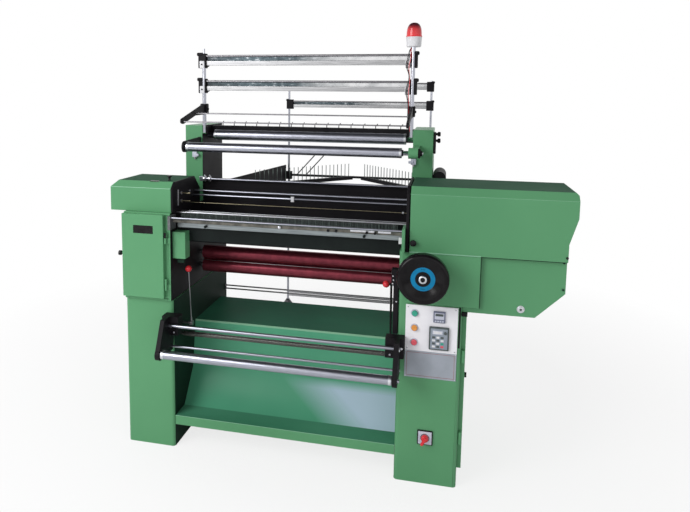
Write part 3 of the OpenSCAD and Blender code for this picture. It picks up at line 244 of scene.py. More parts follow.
metals = {  # light, dark, roughness, stretch of the grain, then its scale and depth
    "chromeX": ((0.49, 0.50, 0.57), (0.37, 0.38, 0.44), (0.26, 0.36), (0.4, 6, 6)),
    "chromeZ": ((0.50, 0.51, 0.56), (0.36, 0.37, 0.42), (0.14, 0.24), (6, 6, 0.4)),
    "turnedSteel": ((0.40, 0.39, 0.41), (0.24, 0.23, 0.25), (0.25, 0.42), (8, 1, 1), 90),
    "needleSteel": ((0.23, 0.27, 0.255), (0.08, 0.10, 0.095), (0.35, 0.55), (1, 3, 3), 180),
    "castIron": ((0.22, 0.22, 0.23), (0.12, 0.12, 0.13), (0.5, 0.7), (1, 1, 1), 120, 0.3),
    "satinAluminium": ((0.50, 0.50, 0.51), (0.30, 0.30, 0.31), (0.32, 0.5), (0.3, 8, 8), 40),
    "barSteel": ((0.37, 0.41, 0.42), (0.22, 0.25, 0.26), (0.32, 0.5), (0.3, 8, 8), 40),
    "zincPlate": ((0.82, 0.83, 0.86), (0.66, 0.67, 0.72), (0.25, 0.4), (1, 1, 1), 150, 0.1),
    "brassRod": ((0.46, 0.41, 0.27), (0.34, 0.30, 0.20), (0.25, 0.4), (1, 8, 8), 90)}
plastics = {  # light, dark, roughness, then gloss, grain and its depth, and metal for a lacquered skin
    "maroonRubber": ((0.265, 0.040, 0.060), (0.195, 0.029, 0.046), (0.28, 0.36), 0.4, 300, 0.08, 0.65),
    "redGloss": ((0.80, 0.040, 0.052), (0.68, 0.028, 0.040), (0.18, 0.26), 0.4),
    "wheelPlastic": ((0.009, 0.008, 0.009), (0.006, 0.005, 0.006), (0.12, 0.18), 0.16),
    "blackPlastic": ((0.010, 0.009, 0.010), (0.006, 0.005, 0.006), (0.20, 0.30), 0.25),
    "whitePlastic": ((0.80, 0.80, 0.82), (0.70, 0.70, 0.73), (0.28, 0.36)),
    "lilacPlastic": ((0.62, 0.64, 0.74), (0.54, 0.56, 0.67), (0.30, 0.40)),
    "slatePlastic": ((0.185, 0.20, 0.285), (0.15, 0.165, 0.24), (0.35, 0.45)),
    "keypadGrey": ((0.090, 0.108, 0.108), (0.068, 0.085, 0.085), (0.35, 0.45)),
    "keypadFace": ((0.30, 0.34, 0.40), (0.25, 0.29, 0.35), (0.40, 0.50)),
    "tealPlastic": ((0.045, 0.40, 0.28), (0.035, 0.34, 0.235), (0.22, 0.30)),
    "orangePlastic": ((0.85, 0.36, 0.080), (0.78, 0.31, 0.065), (0.22, 0.30)),
    "pinkPlastic": ((0.80, 0.115, 0.150), (0.72, 0.095, 0.125), (0.22, 0.30)),
    "bluePlastic": ((0.003, 0.215, 0.430), (0.002, 0.180, 0.370), (0.30, 0.38), 0.2),
    "beltRubber": ((0.022, 0.021, 0.021), (0.014, 0.013, 0.013), (0.6, 0.75), 0.2, 200, 0.2)}
for makeFinish, table in ((paintFinish, paints), (metalFinish, metals), (plasticFinish, plastics)):
    for finishName, values in table.items():
        makeFinish(finishName, *values)
trayFinish("trayEnamel")
bandFinish("railBand")
knurlFinish("knurledSteel")
lampFinish("lensRed")
print("finishes made")


# mesh helpers
def newFaces(bm, before, finish):
    for face in bm.faces:
        if face not in before:
            face.material_index = finish


def turn(bm, profile, centre, axis, steps=48, finish=0):  # profile of (radius, along) in millimetres
    before = set(bm.faces)
    side = axis.orthogonal().normalized()
    verts = [bm.verts.new(centre + side * r * mm + axis * t * mm) for r, t in profile]
    edges = [bm.edges.new(pair) for pair in zip(verts, verts[1:])]
    bmesh.ops.spin(bm, geom=verts + edges, cent=centre, axis=axis, dvec=(0, 0, 0), angle=2 * math.pi,
                   steps=steps, use_merge=True)
    newFaces(bm, before, finish)


def rod(bm, radius, start, end, steps=32, finish=0, chamfer=1.0):
    run = end - start
    length = run.length / mm
    ease = min(chamfer, radius / 3)
    turn(bm, [(0, 0), (radius - ease, 0), (radius, ease), (radius, length - ease), (radius - ease, length),
              (0, length)], start, run.normalized(), steps, finish)


def easeEdges(bm, edges, offset, segments):
    bmesh.ops.bevel(bm, geom=edges, offset=offset, offset_type="OFFSET", segments=segments, profile=0.5,
                    affect="EDGES", clamp_overlap=True, material=-1)


def roundBox(bm, low, high, radius=2.0, segments=3, finish=0, spun=None):  # opposite corners as in at()
    before = set(bm.faces)
    low, high = at(*low), at(*high)
    size = high - low
    made = bmesh.ops.create_cube(bm, size=1, matrix=Matrix.LocRotScale((low + high) / 2, None, size))
    edges = list({e for v in made["verts"] for e in v.link_edges})
    easeEdges(bm, edges, min(radius * mm, min(size) * 0.45), segments)
    if spun:
        centre, axis, degrees = spun
        verts = list({v for f in bm.faces if f not in before for v in f.verts})
        bmesh.ops.rotate(bm, cent=centre, matrix=Matrix.Rotation(math.radians(degrees), 3, axis), verts=verts)
    newFaces(bm, before, finish)


def slab(bm, outline, push, radius=0.0, finish=0):  # outline of points, pushed to a thickness
    before = set(bm.faces)
    verts = [bm.verts.new(p) for p in outline]
    face = bm.faces.new(verts)
    pushed = bmesh.ops.extrude_face_region(bm, geom=[face])
    moved = [v for v in pushed["geom"] if isinstance(v, bmesh.types.BMVert)]
    bmesh.ops.translate(bm, verts=moved, vec=push)
    if radius:
        easeEdges(bm, list({e for v in verts + moved for e in v.link_edges}), radius * mm, 2)
    newFaces(bm, before, finish)


def boltHead(bm, centre, axis, radius, tall=4.0, finish=0, socket=None):  # domed, with a socket if wanted
    top = [(radius, 0), (radius, tall * 0.55), (radius * 0.9, tall * 0.85), (radius * 0.6, tall)]
    if socket is None:
        turn(bm, [(0, 0)] + top + [(0, tall)], centre, axis, 24, finish)
        return
    rim, floor = radius * 0.45, tall * 0.4
    turn(bm, [(0, 0)] + top + [(rim, tall)], centre, axis, 24, finish)
    turn(bm, [(rim, tall), (rim, floor), (0, floor)], centre, axis, 24, socket)


def finishPiece(name, bm, finishes, body="frame", replaces=()):
    bmesh.ops.remove_doubles(bm, verts=bm.verts, dist=2e-6)
    bmesh.ops.recalc_face_normals(bm, faces=bm.faces)
    mesh = bpy.data.meshes.new(name)
    bm.to_mesh(mesh)
    bm.free()
    for finish in finishes if isinstance(finishes, list) else [finishes]:
        mesh.materials.append(bpy.data.materials[finish])
    mesh.shade_smooth()
    mesh.set_sharp_from_angle(angle=sharpFrom)
    piece = bpy.data.objects.new(name, mesh)
    bpy.context.scene.collection.objects.link(piece)
    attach(piece, body)
    if replaces:
        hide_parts(*replaces)
    even = piece.modifiers.new("evenShading", "WEIGHTED_NORMAL")  # flats stay flat beside rounded edges
    even.keep_sharp = True


def pieceName(node):
    first, *rest = node.split("_")
    return first + "".join(word.capitalize() for word in rest)


def bodyOf(node):
    return nodes[node]["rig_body"]


def standIn(node, bm, finishes, name=None):  # the piece shown in a node's place
    finishPiece(name or pieceName(node), bm, finishes, bodyOf(node), [node])


def dressNode(node, finishes, edge=2.0, paint=None, highlightPick=None, skin=0.0):
    # the node's own solid, merged, with its outer edges rounded and painted faces picked out
    bm = bmesh.new()
    bm.from_mesh(nodes[node].data)
    bmesh.ops.remove_doubles(bm, verts=bm.verts, dist=1e-5)
    bmesh.ops.dissolve_limit(bm, angle_limit=math.radians(0.4), verts=bm.verts, edges=bm.edges)
    bm.normal_update()
    for face in bm.faces:
        face.material_index = int(paint(face)) if paint else 0
    if edge:
        corners = [e for e in bm.edges if len(e.link_faces) == 2 and e.calc_length() > shortEdge
                   and e.is_convex and e.calc_face_angle() > cornerFrom
                   and min(f.calc_area() for f in e.link_faces) > skin]
        easeEdges(bm, corners, edge * mm, 3)
        bm.normal_update()
    if highlightPick:  # painted highlight: a lighter line where the sheet is folded
        for face in bm.faces:
            if highlightPick(face):
                face.material_index = len(finishes) - 1
    standIn(node, bm, finishes)


# columns, tray and covers
def paintedShells():
    settings = {"clampLow": (-500.3, 359.2, 1444), "clampHigh": (-480.3, 361, 1480.4), "sideDoor": 278,
                "slotFrom": 1000, "slotDeep": 14, "shelfFrom": 490, "lipTop": 152, "lipBack": 20}

    def shadedInnerSide(limit):  # 1 on the side that faces the gap, painted dark there as painted shade, 2 on what stands out from it
        def pick(face):
            x = where(face).x
            return 2 if x > limit + 1 else face.normal.x > 0.9 and x > limit - 6
        return pick

    def trayFaces(face):
        # upward faces: the shelf top and the trough floor are painted darker as painted shade
        if face.normal.z > 0.9:
            return 1 if where(face).z > settings["shelfFrom"] else 2
        return 0 if face.normal.z > 0.1 and face.normal.y < 0 else 3

    # painted highlight on the slanted faces at the shelf's front edge and on the front lip
    def trayEdgeHighlight(face):
        spot = where(face)
        lip = spot.z < settings["lipTop"] and spot.y < settings["lipBack"]
        return (spot.z > settings["shelfFrom"] or lip) and 0.2 < face.normal.z < 0.9 and face.normal.y < -0.2

    def doorFaces(face):
        spot = where(face)
        recess = doorFront + 0.5 < spot.y < doorFront + settings["slotDeep"] and face.normal.y < -0.5
        return recess and spot.z > settings["slotFrom"] or spot.x < doorSide

    def sideDoorFaces(face):
        spot = where(face)
        return spot.x > sideFront + 0.5 or spot.z > sideTop - 1 and face.normal.z > 0.5

    # painted highlight on the hoods' slanted front faces
    def frontFoldHighlight(face):
        return face.normal.y < -0.7 and 0.12 < face.normal.z < 0.6

    doorFront = (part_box("left_door")[0].y - columnFront) / mm
    doorSide = (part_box("left_gearbox")[0].x - gapMiddle) / mm - 0.5
    sideFront = gapHalf + settings["sideDoor"]
    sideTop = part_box("side_door")[1].z / mm
    # the sides facing the gap are painted dark as painted shade: dark green on the column, black on the
    # gearbox and upper column
    dressNode("left_column", ["greenEnamel", "shadeEnamel", "turnedSteel"], 3.0, shadedInnerSide(-gapHalf))
    dressNode("right_column", ["greenEnamel", "turnedSteel"], 3.0, lambda face: where(face).x < gapHalf - 1)
    dressNode("rear_beam", "greenEnamel", 2.0)
    dressNode("chute_tray", ["trayEnamel", "shadedShelfEnamel", "shadedTroughEnamel", "greenEnamel", "foldEnamel"], 3.5,
              trayFaces, trayEdgeHighlight, 0.0025)
    # black on the side facing the gap, as painted shade
    dressNode("left_gearbox", ["greenEnamel", "blackPaint", "turnedSteel"], 2.5, shadedInnerSide(-gapHalf - 4))
    dressNode("left_door", ["greenEnamel", "blackPlastic"], 1.8, doorFaces, skin=0.0008)
    for hood in ("left_hood", "right_hood"):
        # the tops are painted darker as painted shade, and the slanted front faces get a painted highlight
        dressNode(hood, ["greenEnamel", "shadedTopAndScrewEnamel", "foldEnamel"], 5.0, lambda face: face.normal.z > 0.9,
                  frontFoldHighlight, 0.0025)
    dressNode("right_lower_cover", "greenEnamel", 2.0, skin=0.0025)
    dressNode("drive_panel", "greenEnamel", 2.5)
    dressNode("side_door", ["greenEnamel", "blackPlastic"], 2.5, sideDoorFaces, skin=0.0014)
    dressNode("door_hinges", "greenEnamel", 0.6)
    # black on the side facing the gap, as painted shade
    dressNode("left_upper_column", ["greenEnamel", "blackPaint", "blackPaint"], 2.5, shadedInnerSide(-gapHalf + 4))
    bm = bmesh.new()  # black face of the post's clamp
    roundBox(bm, settings["clampLow"], settings["clampHigh"], 0.4, 1)
    finishPiece("postClampFace", bm, "blackPaint")
    dressNode("right_upper_column", "greenEnamel", 2.5)
    dressNode("end_plates", "blackPaint", 2.0)

def coverTrim():
    settings = {"coverScrew": (987, 793), "smallScrews": [(1138, 993), (1140, 885)],
                "cornerNub": (1145, 1018), "lowerEdge": (545, 826, 1000), "hoodSlot": (-605, 43),
                "plateBolts": [(200, 1178), (197, 1082)], "plateStrip": (68, 1128, 1200),
                "plateRods": [(102, 1182), (101, 1146)], "crease": [(-411, 217, 284), (-451, 133, 173)],
                "flange": [(-560, -9.8, 712), (-518.3, -5, 1092)]}
    front = (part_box("right_lower_cover")[0].y - columnFront) / mm
    bm = bmesh.new()
    x, z = settings["coverScrew"]
    boltHead(bm, at(x, front, z), -axisY, 11, 6, 0, 3)
    turn(bm, [(11, 0), (15, 0), (15, 1.6), (11, 1.6)], at(x, front, z), -axisY, 32)
    for x, z in settings["smallScrews"]:
        boltHead(bm, at(x, front, z), -axisY, 5, 3, 2, 1)
    x, z = settings["cornerNub"]
    rod(bm, 5, at(x, front - 18, z), at(x, front - 26, z), 24, 1)
    finishPiece("coverScrews", bm, ["zincPlate", "blackPlastic", "shadedTopAndScrewEnamel", "castIron"])

    bm = bmesh.new()  # painted highlight along the hood's lower edge, over the drive panel
    x0, x1, z = settings["lowerEdge"]
    roundBox(bm, (x0, -15, z), (x1, -11.5, z + 5), 1.2, 2)
    finishPiece("hoodLowerEdgeHighlight", bm, "foldEnamel")

    bm = bmesh.new()  # painted shadows: dark strips under the hood, beside the drive panel and beside the control panel, and a dark block below the drive panel
    roundBox(bm, (826.5, front - 8, 994.5), (1149, front, 999.9), 1, 2)
    roundBox(bm, (826.6, front - 12, 785), (829.4, front, 994.5), 0.5, 1)
    roundBox(bm, (751, -1.5, 610), (758, 0.2, 782.5), 0.5, 1)
    roundBox(bm, (760, 2, 744.6), (784, 16, 762), 2, 2)
    finishPiece("coverSeamShadows", bm, "blackPaint")

    bm = bmesh.new()  # painted highlights: a bright line under the shelf and a light line along the crease in the tray's side
    roundBox(bm, (0.5 - gapHalf, 254.8, 517), (gapHalf - 0.5, 258.6, 526.6), 1.2, 2)
    rod(bm, 1.5, *(at(*spot) for spot in settings["crease"]), 8)
    finishPiece("trayFolds", bm, "foldEnamel")

    bm = bmesh.new()  # front flange of the gearbox, behind the door's hinge side
    roundBox(bm, *settings["flange"], 1, 2)
    finishPiece("gearboxFlange", bm, "greenEnamel")

    bm = bmesh.new()  # what the left end plate carries
    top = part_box("left_hood")[1].z / mm
    plate = -gapHalf
    x, y = settings["hoodSlot"]
    roundBox(bm, (x - 22, y - 10, top - 1), (x + 22, y + 10, top + 0.8), 0.6, 2, 1)
    for y, z in settings["plateBolts"]:
        boltHead(bm, at(plate, y, z), axisX, 5)
    y, z0, z1 = settings["plateStrip"]
    roundBox(bm, (plate - 0.5, y - 4, z0), (plate + 3, y + 4, z1), 1, 2)
    for y, z in settings["plateRods"]:
        rod(bm, 3, at(plate - 1, y, z), at(plate + 46, y, z), 20, 2)
        turn(bm, [(3, 0), (7, 0), (7, 5), (3, 5)], at(plate, y, z), axisX, 24)
    finishPiece("endPlateTrim", bm, ["zincPlate", "blackPlastic", "brassRod"])


def coverKnobs():
    settings = {"hoodKnob": (559.5, -12, 1042), "topKnob": (-550.5, 80, 1240), "blockX": (616.5, 628.5),
                "blockY": (390, 420), "blockZ": (1370, 1470), "tensionZ": (1460, 1430)}
    bm = bmesh.new()
    turn(bm, [(0, 0), (9, 0), (7, 2), (6, 6), (10, 8), (13, 11), (13, 15), (11, 17.4), (7, 18), (0, 18)],
         at(*settings["hoodKnob"]), -axisY)
    turn(bm, [(0, 0), (8, 0), (6, 2), (5, 8), (5.5, 14), (10, 16.5), (11, 18.5), (10.6, 21), (9, 23.2),
              (0, 24)], at(*settings["topKnob"]), axisZ)
    x0, x1 = settings["blockX"]
    roundBox(bm, (x0, settings["blockY"][0], settings["blockZ"][0]),
             (x1, settings["blockY"][1], settings["blockZ"][1]), 3)
    middle = sum(settings["blockY"]) / 2
    for z in settings["tensionZ"]:
        turn(bm, [(0, 0), (6, 0), (6, 5), (9, 6.5), (10, 8), (10, 17), (9, 19), (6, 20), (0, 20)],
             at(x1, middle, z), axisX, 24)
        for step in range(12):  # finger ribs
            angle = math.radians(30 * step)
            spot = at(x1 + 7, middle + 9.4 * math.cos(angle), z + 9.4 * math.sin(angle))
            rod(bm, 1.2, spot, spot + axisX * 11 * mm, 8)
    standIn("cover_knobs", bm, "blackPlastic")


paintedShells()
coverTrim()
coverKnobs()
print("columns and covers made")


# drive
def handwheelSet():
    settings = {"centre": (605.5, -82, 921), "shaftEnd": 716, "gearY": (233, 267), "gearR": 19.8, "markR": 39}
    x, back, z = settings["centre"]
    centre = at(x, back, z)
    bm = bmesh.new()
    turn(bm, [(48, 30.6), (48, 31.6), (50, 32.6), (58, 36), (66, 39.8), (74, 43.2), (80, 45.2), (86, 46),
              (92, 45.4), (97, 43), (100.4, 39), (102, 33), (102, 8), (101, 4), (98, 1), (94, 0), (84, 0),
              (79, 2), (75, 8), (72, 12), (26, 12), (26, 0), (12.6, 0), (12.6, 32), (29, 32), (30, 31.4),
              (30, 30.6)], centre, -axisY, 96)
    turn(bm, [(30, 30.6), (31, 31), (47, 31), (48, 30.6)], centre, -axisY, 96, 1)
    for side in (-1, 1):  # small printed dashes on the ring
        for shift in (-6, 0, 6):
            roundBox(bm, (x + shift - 1.8, back - 31.4, z + side * settings["markR"] - 1.2),
                     (x + shift + 1.8, back - 30.9, z + side * settings["markR"] + 1.2), 0.2, 1)
    standIn("handwheel", bm, ["wheelPlastic", "bluePlastic"])

    bm = bmesh.new()
    turn(bm, [(0, 38), (7, 38), (8, 39), (8.4, 41.4)], centre, -axisY, 48, 1)
    turn(bm, [(8.4, 41.4), (10, 42.9), (13, 43.1), (15.5, 42), (17, 39.4), (17, 32.2), (0, 32.2)],
         centre, -axisY)
    rod(bm, 12.5, at(x, back - 32, z), at(x, settings["shaftEnd"], z), 40)
    rod(bm, settings["gearR"], at(x, settings["gearY"][0], z), at(x, settings["gearY"][1], z), 48)
    standIn("main_shaft", bm, ["zincPlate", "blackPlastic"])
    for node, finish, edge in (("main_pulley", "castIron", 0.6), ("cam_shaft", "turnedSteel", 0.6),
                               ("motor", "castIron", 0.8), ("motor_pulley", "turnedSteel", 0.6),
                               ("drive_belt", "beltRubber", 0)):
        dressNode(node, finish, edge)


handwheelSet()
print("drive made")


# control panel
def controlPanel():
    settings = {"panelX": (537.5, 747.5), "panelZ": (585, 780), "face": -6, "screwIn": 9, "buttonX": 574.5,
                "plateFace": -3, "plateZ": (468, 585), "borderIn": 8, "borderWide": 1.6, "pinIn": 4.5}

    def cornerHeads(bm, inset, face, *head):
        for x in (x0 + inset, x1 - inset):
            for z in (z0 + inset, z1 - inset):
                boltHead(bm, at(x, face, z), -axisY, *head)

    face = settings["face"]
    dressNode("control_panel", "panelPaint", 1.0)
    x0, x1 = settings["panelX"]
    z0, z1 = settings["panelZ"]
    bm = bmesh.new()
    cornerHeads(bm, settings["screwIn"], face, 3.4, 1.8, 0, 1)
    finishPiece("panelScrews", bm, ["zincPlate", "keypadGrey"])

    caps = {"start_button": (746, "tealPlastic"), "jog_button": (684, "orangePlastic"),
            "stop_button": (622, "pinkPlastic")}
    bm = bmesh.new()
    for z, _ in caps.values():
        turn(bm, [(12.8, 0), (16.4, 0), (16.4, 1.2), (15.2, 2.6), (12.8, 2.6), (12.8, 0)],
             at(settings["buttonX"], face, z), -axisY, 40)
    finishPiece("buttonBezels", bm, "lilacPlastic")
    for node, (z, finish) in caps.items():
        bm = bmesh.new()
        centre = at(settings["buttonX"], face - 3.2, z)
        turn(bm, [(0, 0), (11.4, 0), (12, 0.6), (12, 5.6), (11.4, 7), (10, 7.8), (8, 8), (7, 7.5), (0, 7.3)],
             centre, -axisY, 40)
        rod(bm, 6, centre, at(settings["buttonX"], 20, z), 24, 1)
        standIn(node, bm, [finish, "turnedSteel"])

    z0, z1 = settings["plateZ"]
    face = settings["plateFace"]
    inset, wide = settings["borderIn"], settings["borderWide"]
    dressNode("nameplate", "plateGrey", 0.8)
    bm = bmesh.new()
    left, right, low, high = x0 + inset, x1 - inset, z0 + inset, z1 - inset
    for a, b, c, d in ((left, right, low, low + wide), (left, right, high - wide, high),
                       (left, left + wide, low, high), (right - wide, right, low, high)):
        roundBox(bm, (a, face - 0.5, c), (b, face + 0.2, d), 0.2, 1)
    cornerHeads(bm, settings["pinIn"], face, 2, 1.2, 1)
    finishPiece("nameplateBorder", bm, ["borderRed", "zincPlate"])


def panelDisplays():
    settings = {"counter": (649.5, 714, 48), "keypad": (634.5, 599, 80, 98), "face": -6, "digitPitch": 9.6,
                "keyPitch": (17, 13), "keySize": (12, 1.6, 8.5), "coloured": {(0, 2): 6, (1, 2): 7}}
    face = settings["face"]
    x, z, size = settings["counter"]
    bm = bmesh.new()
    roundBox(bm, (x, face - 8, z), (x + size, face, z + size), 2.5)
    roundBox(bm, (x + 5, face - 8.6, z + 15), (x + size - 5, face - 7, z + size - 6), 1, 2, 2)
    roundBox(bm, (x + 8, face - 8.9, z + 29), (x + size - 8, face - 8, z + size - 9), 0.4, 1, 1)
    for column in range(4):
        left = x + 6 + column * settings["digitPitch"]
        roundBox(bm, (left, face - 9, z + 4), (left + 7, face - 7, z + 10), 1, 2, 2)
    x, z, wide, tall = settings["keypad"]
    roundBox(bm, (x, face - 12, z), (x + wide, face, z + tall), 4, 3, 3)
    roundBox(bm, (x + 6, face - 12.7, z + 6), (x + wide - 6, face - 11, z + tall - 6), 2, 2, 4)
    roundBox(bm, (x + 14, face - 13.2, z + 68), (x + 54, face - 12, z + 84), 1, 2, 2)
    roundBox(bm, (x + 18, face - 13.5, z + 71), (x + 50, face - 12.9, z + 81), 0.4, 1, 5)
    across, up = settings["keyPitch"]
    for row in range(4):
        for column in range(3):
            finish = settings["coloured"].get((row, column), 3 if (row + column) % 2 else 5)
            low = Vector((x + 13 + column * across, face - 13.4, z + 12 + row * up))
            roundBox(bm, low, low + Vector(settings["keySize"]), 1, 2, finish)
    turn(bm, [(0, 0), (6, 0), (6, 4), (4.5, 5), (0, 5)], at(x + wide - 15, face - 12.5, z + 76),
         -axisY, 24, 3)
    standIn("panel_displays", bm, ["slatePlastic", "keypadGrey", "lilacPlastic", "keypadGrey", "keypadFace",
                                   "whitePlastic", "pinkPlastic", "tealPlastic"])


def mainSwitch():
    settings = {"centre": (631.5, 208), "size": 64, "border": 4.5, "turned": 120}
    x, z = settings["centre"]
    half = settings["size"] / 2
    inner = half - settings["border"]
    bm = bmesh.new()
    roundBox(bm, (x - half, -6.5, z - half), (x + half, 0, z + half), 3)
    roundBox(bm, (x - inner, -8, z - inner), (x + inner, -6, z + inner), 1.2, 2, 1)
    turn(bm, [(15, 7.6), (19, 7.6), (19, 8.0), (15, 8.0)], at(x, 0, z), -axisY)
    standIn("switch_plate", bm, ["blackPlastic", "lilacPlastic"])
    bm = bmesh.new()
    centre = at(x, -8.2, z)
    turn(bm, [(0, 0), (15, 0), (15, 9), (14, 12), (11, 14), (0, 14)], centre, -axisY)
    roundBox(bm, (x - 12, -32, z - 6), (x + 28, -20, z + 6), 4, 4, 0, (centre, axisY, settings["turned"]))
    rod(bm, 5, at(x, -8, z), at(x, 12, z), 24, 1)
    standIn("switch_knob", bm, ["redGloss", "turnedSteel"])


controlPanel()
panelDisplays()
mainSwitch()
print("control panel made")


# take-up frame and levers
def takeUp():
    settings = {"roller": (-140, 505, 19), "collarX": 483.5, "boltX": (-527, 527), "boltZ": 604,
                "lowBoltX": (-480, 480), "lowBoltZ": 574, "boltY": -50, "armBolt": (519.5, -88, 612),
                "bars": [(-58, 606, 7.6), (-35, 503, 5.4)], "barEnd": 523}
    dressNode("takeup_brackets", "blackPaint", 2.5)
    bm = bmesh.new()
    end = settings["barEnd"]
    for y, z, r in settings["bars"]:
        rod(bm, r, at(-end, y, z), at(end, y, z))
    standIn("takeup_bars", bm, "chromeX")
    dressNode("ribbed_shaft", "knurledSteel", 0)

    dressNode("takeup_roller", "chromeX", 0)
    bm = bmesh.new()
    y, z, r = settings["roller"]
    for side in (-1, 1):  # bright end collars
        turn(bm, [(r - 0.2, 0), (r + 1, 0.6), (r + 1, 12), (r - 0.2, 12.6)],
             at(side * settings["collarX"], y, z), axisX * side)
    finishPiece("rollerCollars", bm, "zincPlate", "takeup_roller")
    bm = bmesh.new()
    for x in settings["boltX"]:
        boltHead(bm, at(x, settings["boltY"], settings["boltZ"]), -axisY, 5)
    for x in settings["lowBoltX"]:
        boltHead(bm, at(x, settings["boltY"], settings["lowBoltZ"]), -axisY, 4, 3)
    x, y, z = settings["armBolt"]
    for side in (-1, 1):  # bar ends on the arms' outer sides
        boltHead(bm, at(side * x, y, z), axisX * side, 7)
    finishPiece("bracketBolts", bm, "zincPlate")


def ballLever(node, x, ballShift, r, finishes):
    settings = {"pivotY": 104, "pivotZ": 565, "length": 270, "lean": 6, "ball": 15, "rings": 20, "hub": 12,
                "hubHalf": 8, "bore": 6.3, "nut": (4, 13, 5.5)}
    pivot = at(x, settings["pivotY"], settings["pivotZ"])
    lean = math.radians(settings["lean"])
    along = Vector((0, -math.sin(lean), math.cos(lean)))
    top = pivot + along * settings["length"] * mm
    bm = bmesh.new()
    hub, half, bore = settings["hub"], settings["hubHalf"], settings["bore"]
    turn(bm, [(bore, -half), (hub - 1, -half), (hub, 1 - half), (hub, half - 1), (hub - 1, half),
              (bore, half), (bore, -half)], pivot, axisX, 40, 1)
    rod(bm, r, pivot + along * (hub - 2) * mm, top, 20, 1)
    turn(bm, [(r, 0), (r + 2, 0), (r + 2, 14), (r, 14)], pivot + along * hub * mm, along, 20, 1)
    centre = top + axisX * ballShift * mm
    if ballShift:
        start, end, nutR = settings["nut"]
        rod(bm, r, centre, top + axisX * start * mm, 20, 1)
        rod(bm, nutR, top + axisX * start * mm, top + axisX * end * mm, 20, 2)
    rings = settings["rings"]
    bmesh.ops.create_uvsphere(bm, u_segments=2 * rings, v_segments=rings, radius=settings["ball"] * mm,
                              matrix=Matrix.Translation(centre))
    standIn(node, bm, finishes)


takeUp()
ballLever("left_lever", -460.5, 0, 3.2, ["redGloss", "turnedSteel"])
ballLever("right_lever", 468.5, -22, 5, ["redGloss", "blackPlastic", "zincPlate"])
print("take-up made")


# rollers
def clothRoller(node):
    low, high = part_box(node)
    centre = (low + high) / 2
    core = 15 * mm  # radius between the rubber and the journals

    def sleeveFaces(face):
        spot = face.calc_center_median()
        return 0 if math.hypot(spot.y - centre.y, spot.z - centre.z) > core else 1

    dressNode(node, ["maroonRubber", "turnedSteel"], 0, sleeveFaces)


def chromeRoller(node, x0, x1, r):
    settings = {"collar": 14, "wide": 6, "groove": 9}
    low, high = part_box(node)
    centre = (low + high) / 2
    y, z = (centre.y - columnFront) / mm, centre.z / mm
    dressNode(node, "chromeX", 0)
    bm = bmesh.new()
    collar, wide, groove = settings["collar"], settings["wide"], settings["groove"]
    for x, way in ((x0, -1), (x1, 1)):  # dark collars beside the sleeve, and a pale band on it
        turn(bm, [(10.1, 0.3), (collar, 0.3), (collar, wide), (10.1, wide)], at(x, y, z), axisX * way, 40)
        turn(bm, [(r - 0.2, 0), (r + 0.5, 0.4), (r + 0.5, groove), (r - 0.2, groove + 0.4)],
             at(x - way * 2, y, z), -axisX * way, 64, 1)
    finishPiece(pieceName(node) + "Collars", bm, ["blackPaint", "zincPlate"], bodyOf(node))


def rollerArms():
    settings = {"nut": (559.5, 170, 1389), "hangers": [(-539, 1338), (531, 1336)], "columnFront": 360,
                "reach": 22}
    dressNode("roller_arms", ["greenEnamel", "blackPaint"], 2.0, lambda face: where(face).x < 0)
    nut = at(*settings["nut"])
    bm = bmesh.new()
    turn(bm, [(0, 0), (21, 0), (22, 1.5), (22, 8), (20, 10), (13, 10), (13, 15), (11, 17), (0, 17)],
         nut, axisX, 6)
    turn(bm, [(0, 16), (6, 16), (6, 20), (5, 21), (0, 21)], nut, axisX, 24, 1)
    finishPiece("housingNut", bm, ["blackPaint", "zincPlate"])
    bm = bmesh.new()  # pale guide brackets on the upper columns
    front = settings["columnFront"]
    for x, low in settings["hangers"]:
        left, right = sorted((x, x + settings["reach"] * (1 if x < 0 else -1)))
        roundBox(bm, (x - 12, front - 14, low - 16), (x + 12, front, low + 12), 3, 2)
        roundBox(bm, (left, front - 18, low - 10), (right, front - 10, low + 2), 2, 2)
        rod(bm, 4, at(x, front - 8, low - 26), at(x, front - 8, low - 14), 16, 1)
    finishPiece("rollerHangers", bm, ["lilacPlastic", "turnedSteel"])


def nipGuard():
    settings = {"y": (0, 34), "plates": [(474, 853, 922), (483.5, 645, 856)],
                "bolts": [(481, 893), (483, 876), (480, 861), (497, 785)], "stripper": (312, 815, 1.3)}
    y0, y1 = settings["y"]
    bm = bmesh.new()
    for x, z0, z1 in settings["plates"]:
        roundBox(bm, (x, y0, z0), (gapHalf + 0.2, y1, z1), 3)
    for x, z in settings["bolts"]:
        boltHead(bm, at(x, y0, z), -axisY, 3, 2.4, 1)
    y, z, r = settings["stripper"]
    rod(bm, r, at(-gapHalf, y, z), at(gapHalf, y, z), 8, 2)
    finishPiece("nipGuard", bm, ["blackPaint", "zincPlate", "turnedSteel"])


clothRoller("lower_roller")
clothRoller("upper_nip_roller")
chromeRoller("upper_roller", -464.5, 490.5, 25.5)
chromeRoller("guide_roller", -500.5, 490.5, 22)
rollerArms()
nipGuard()
print("rollers made")


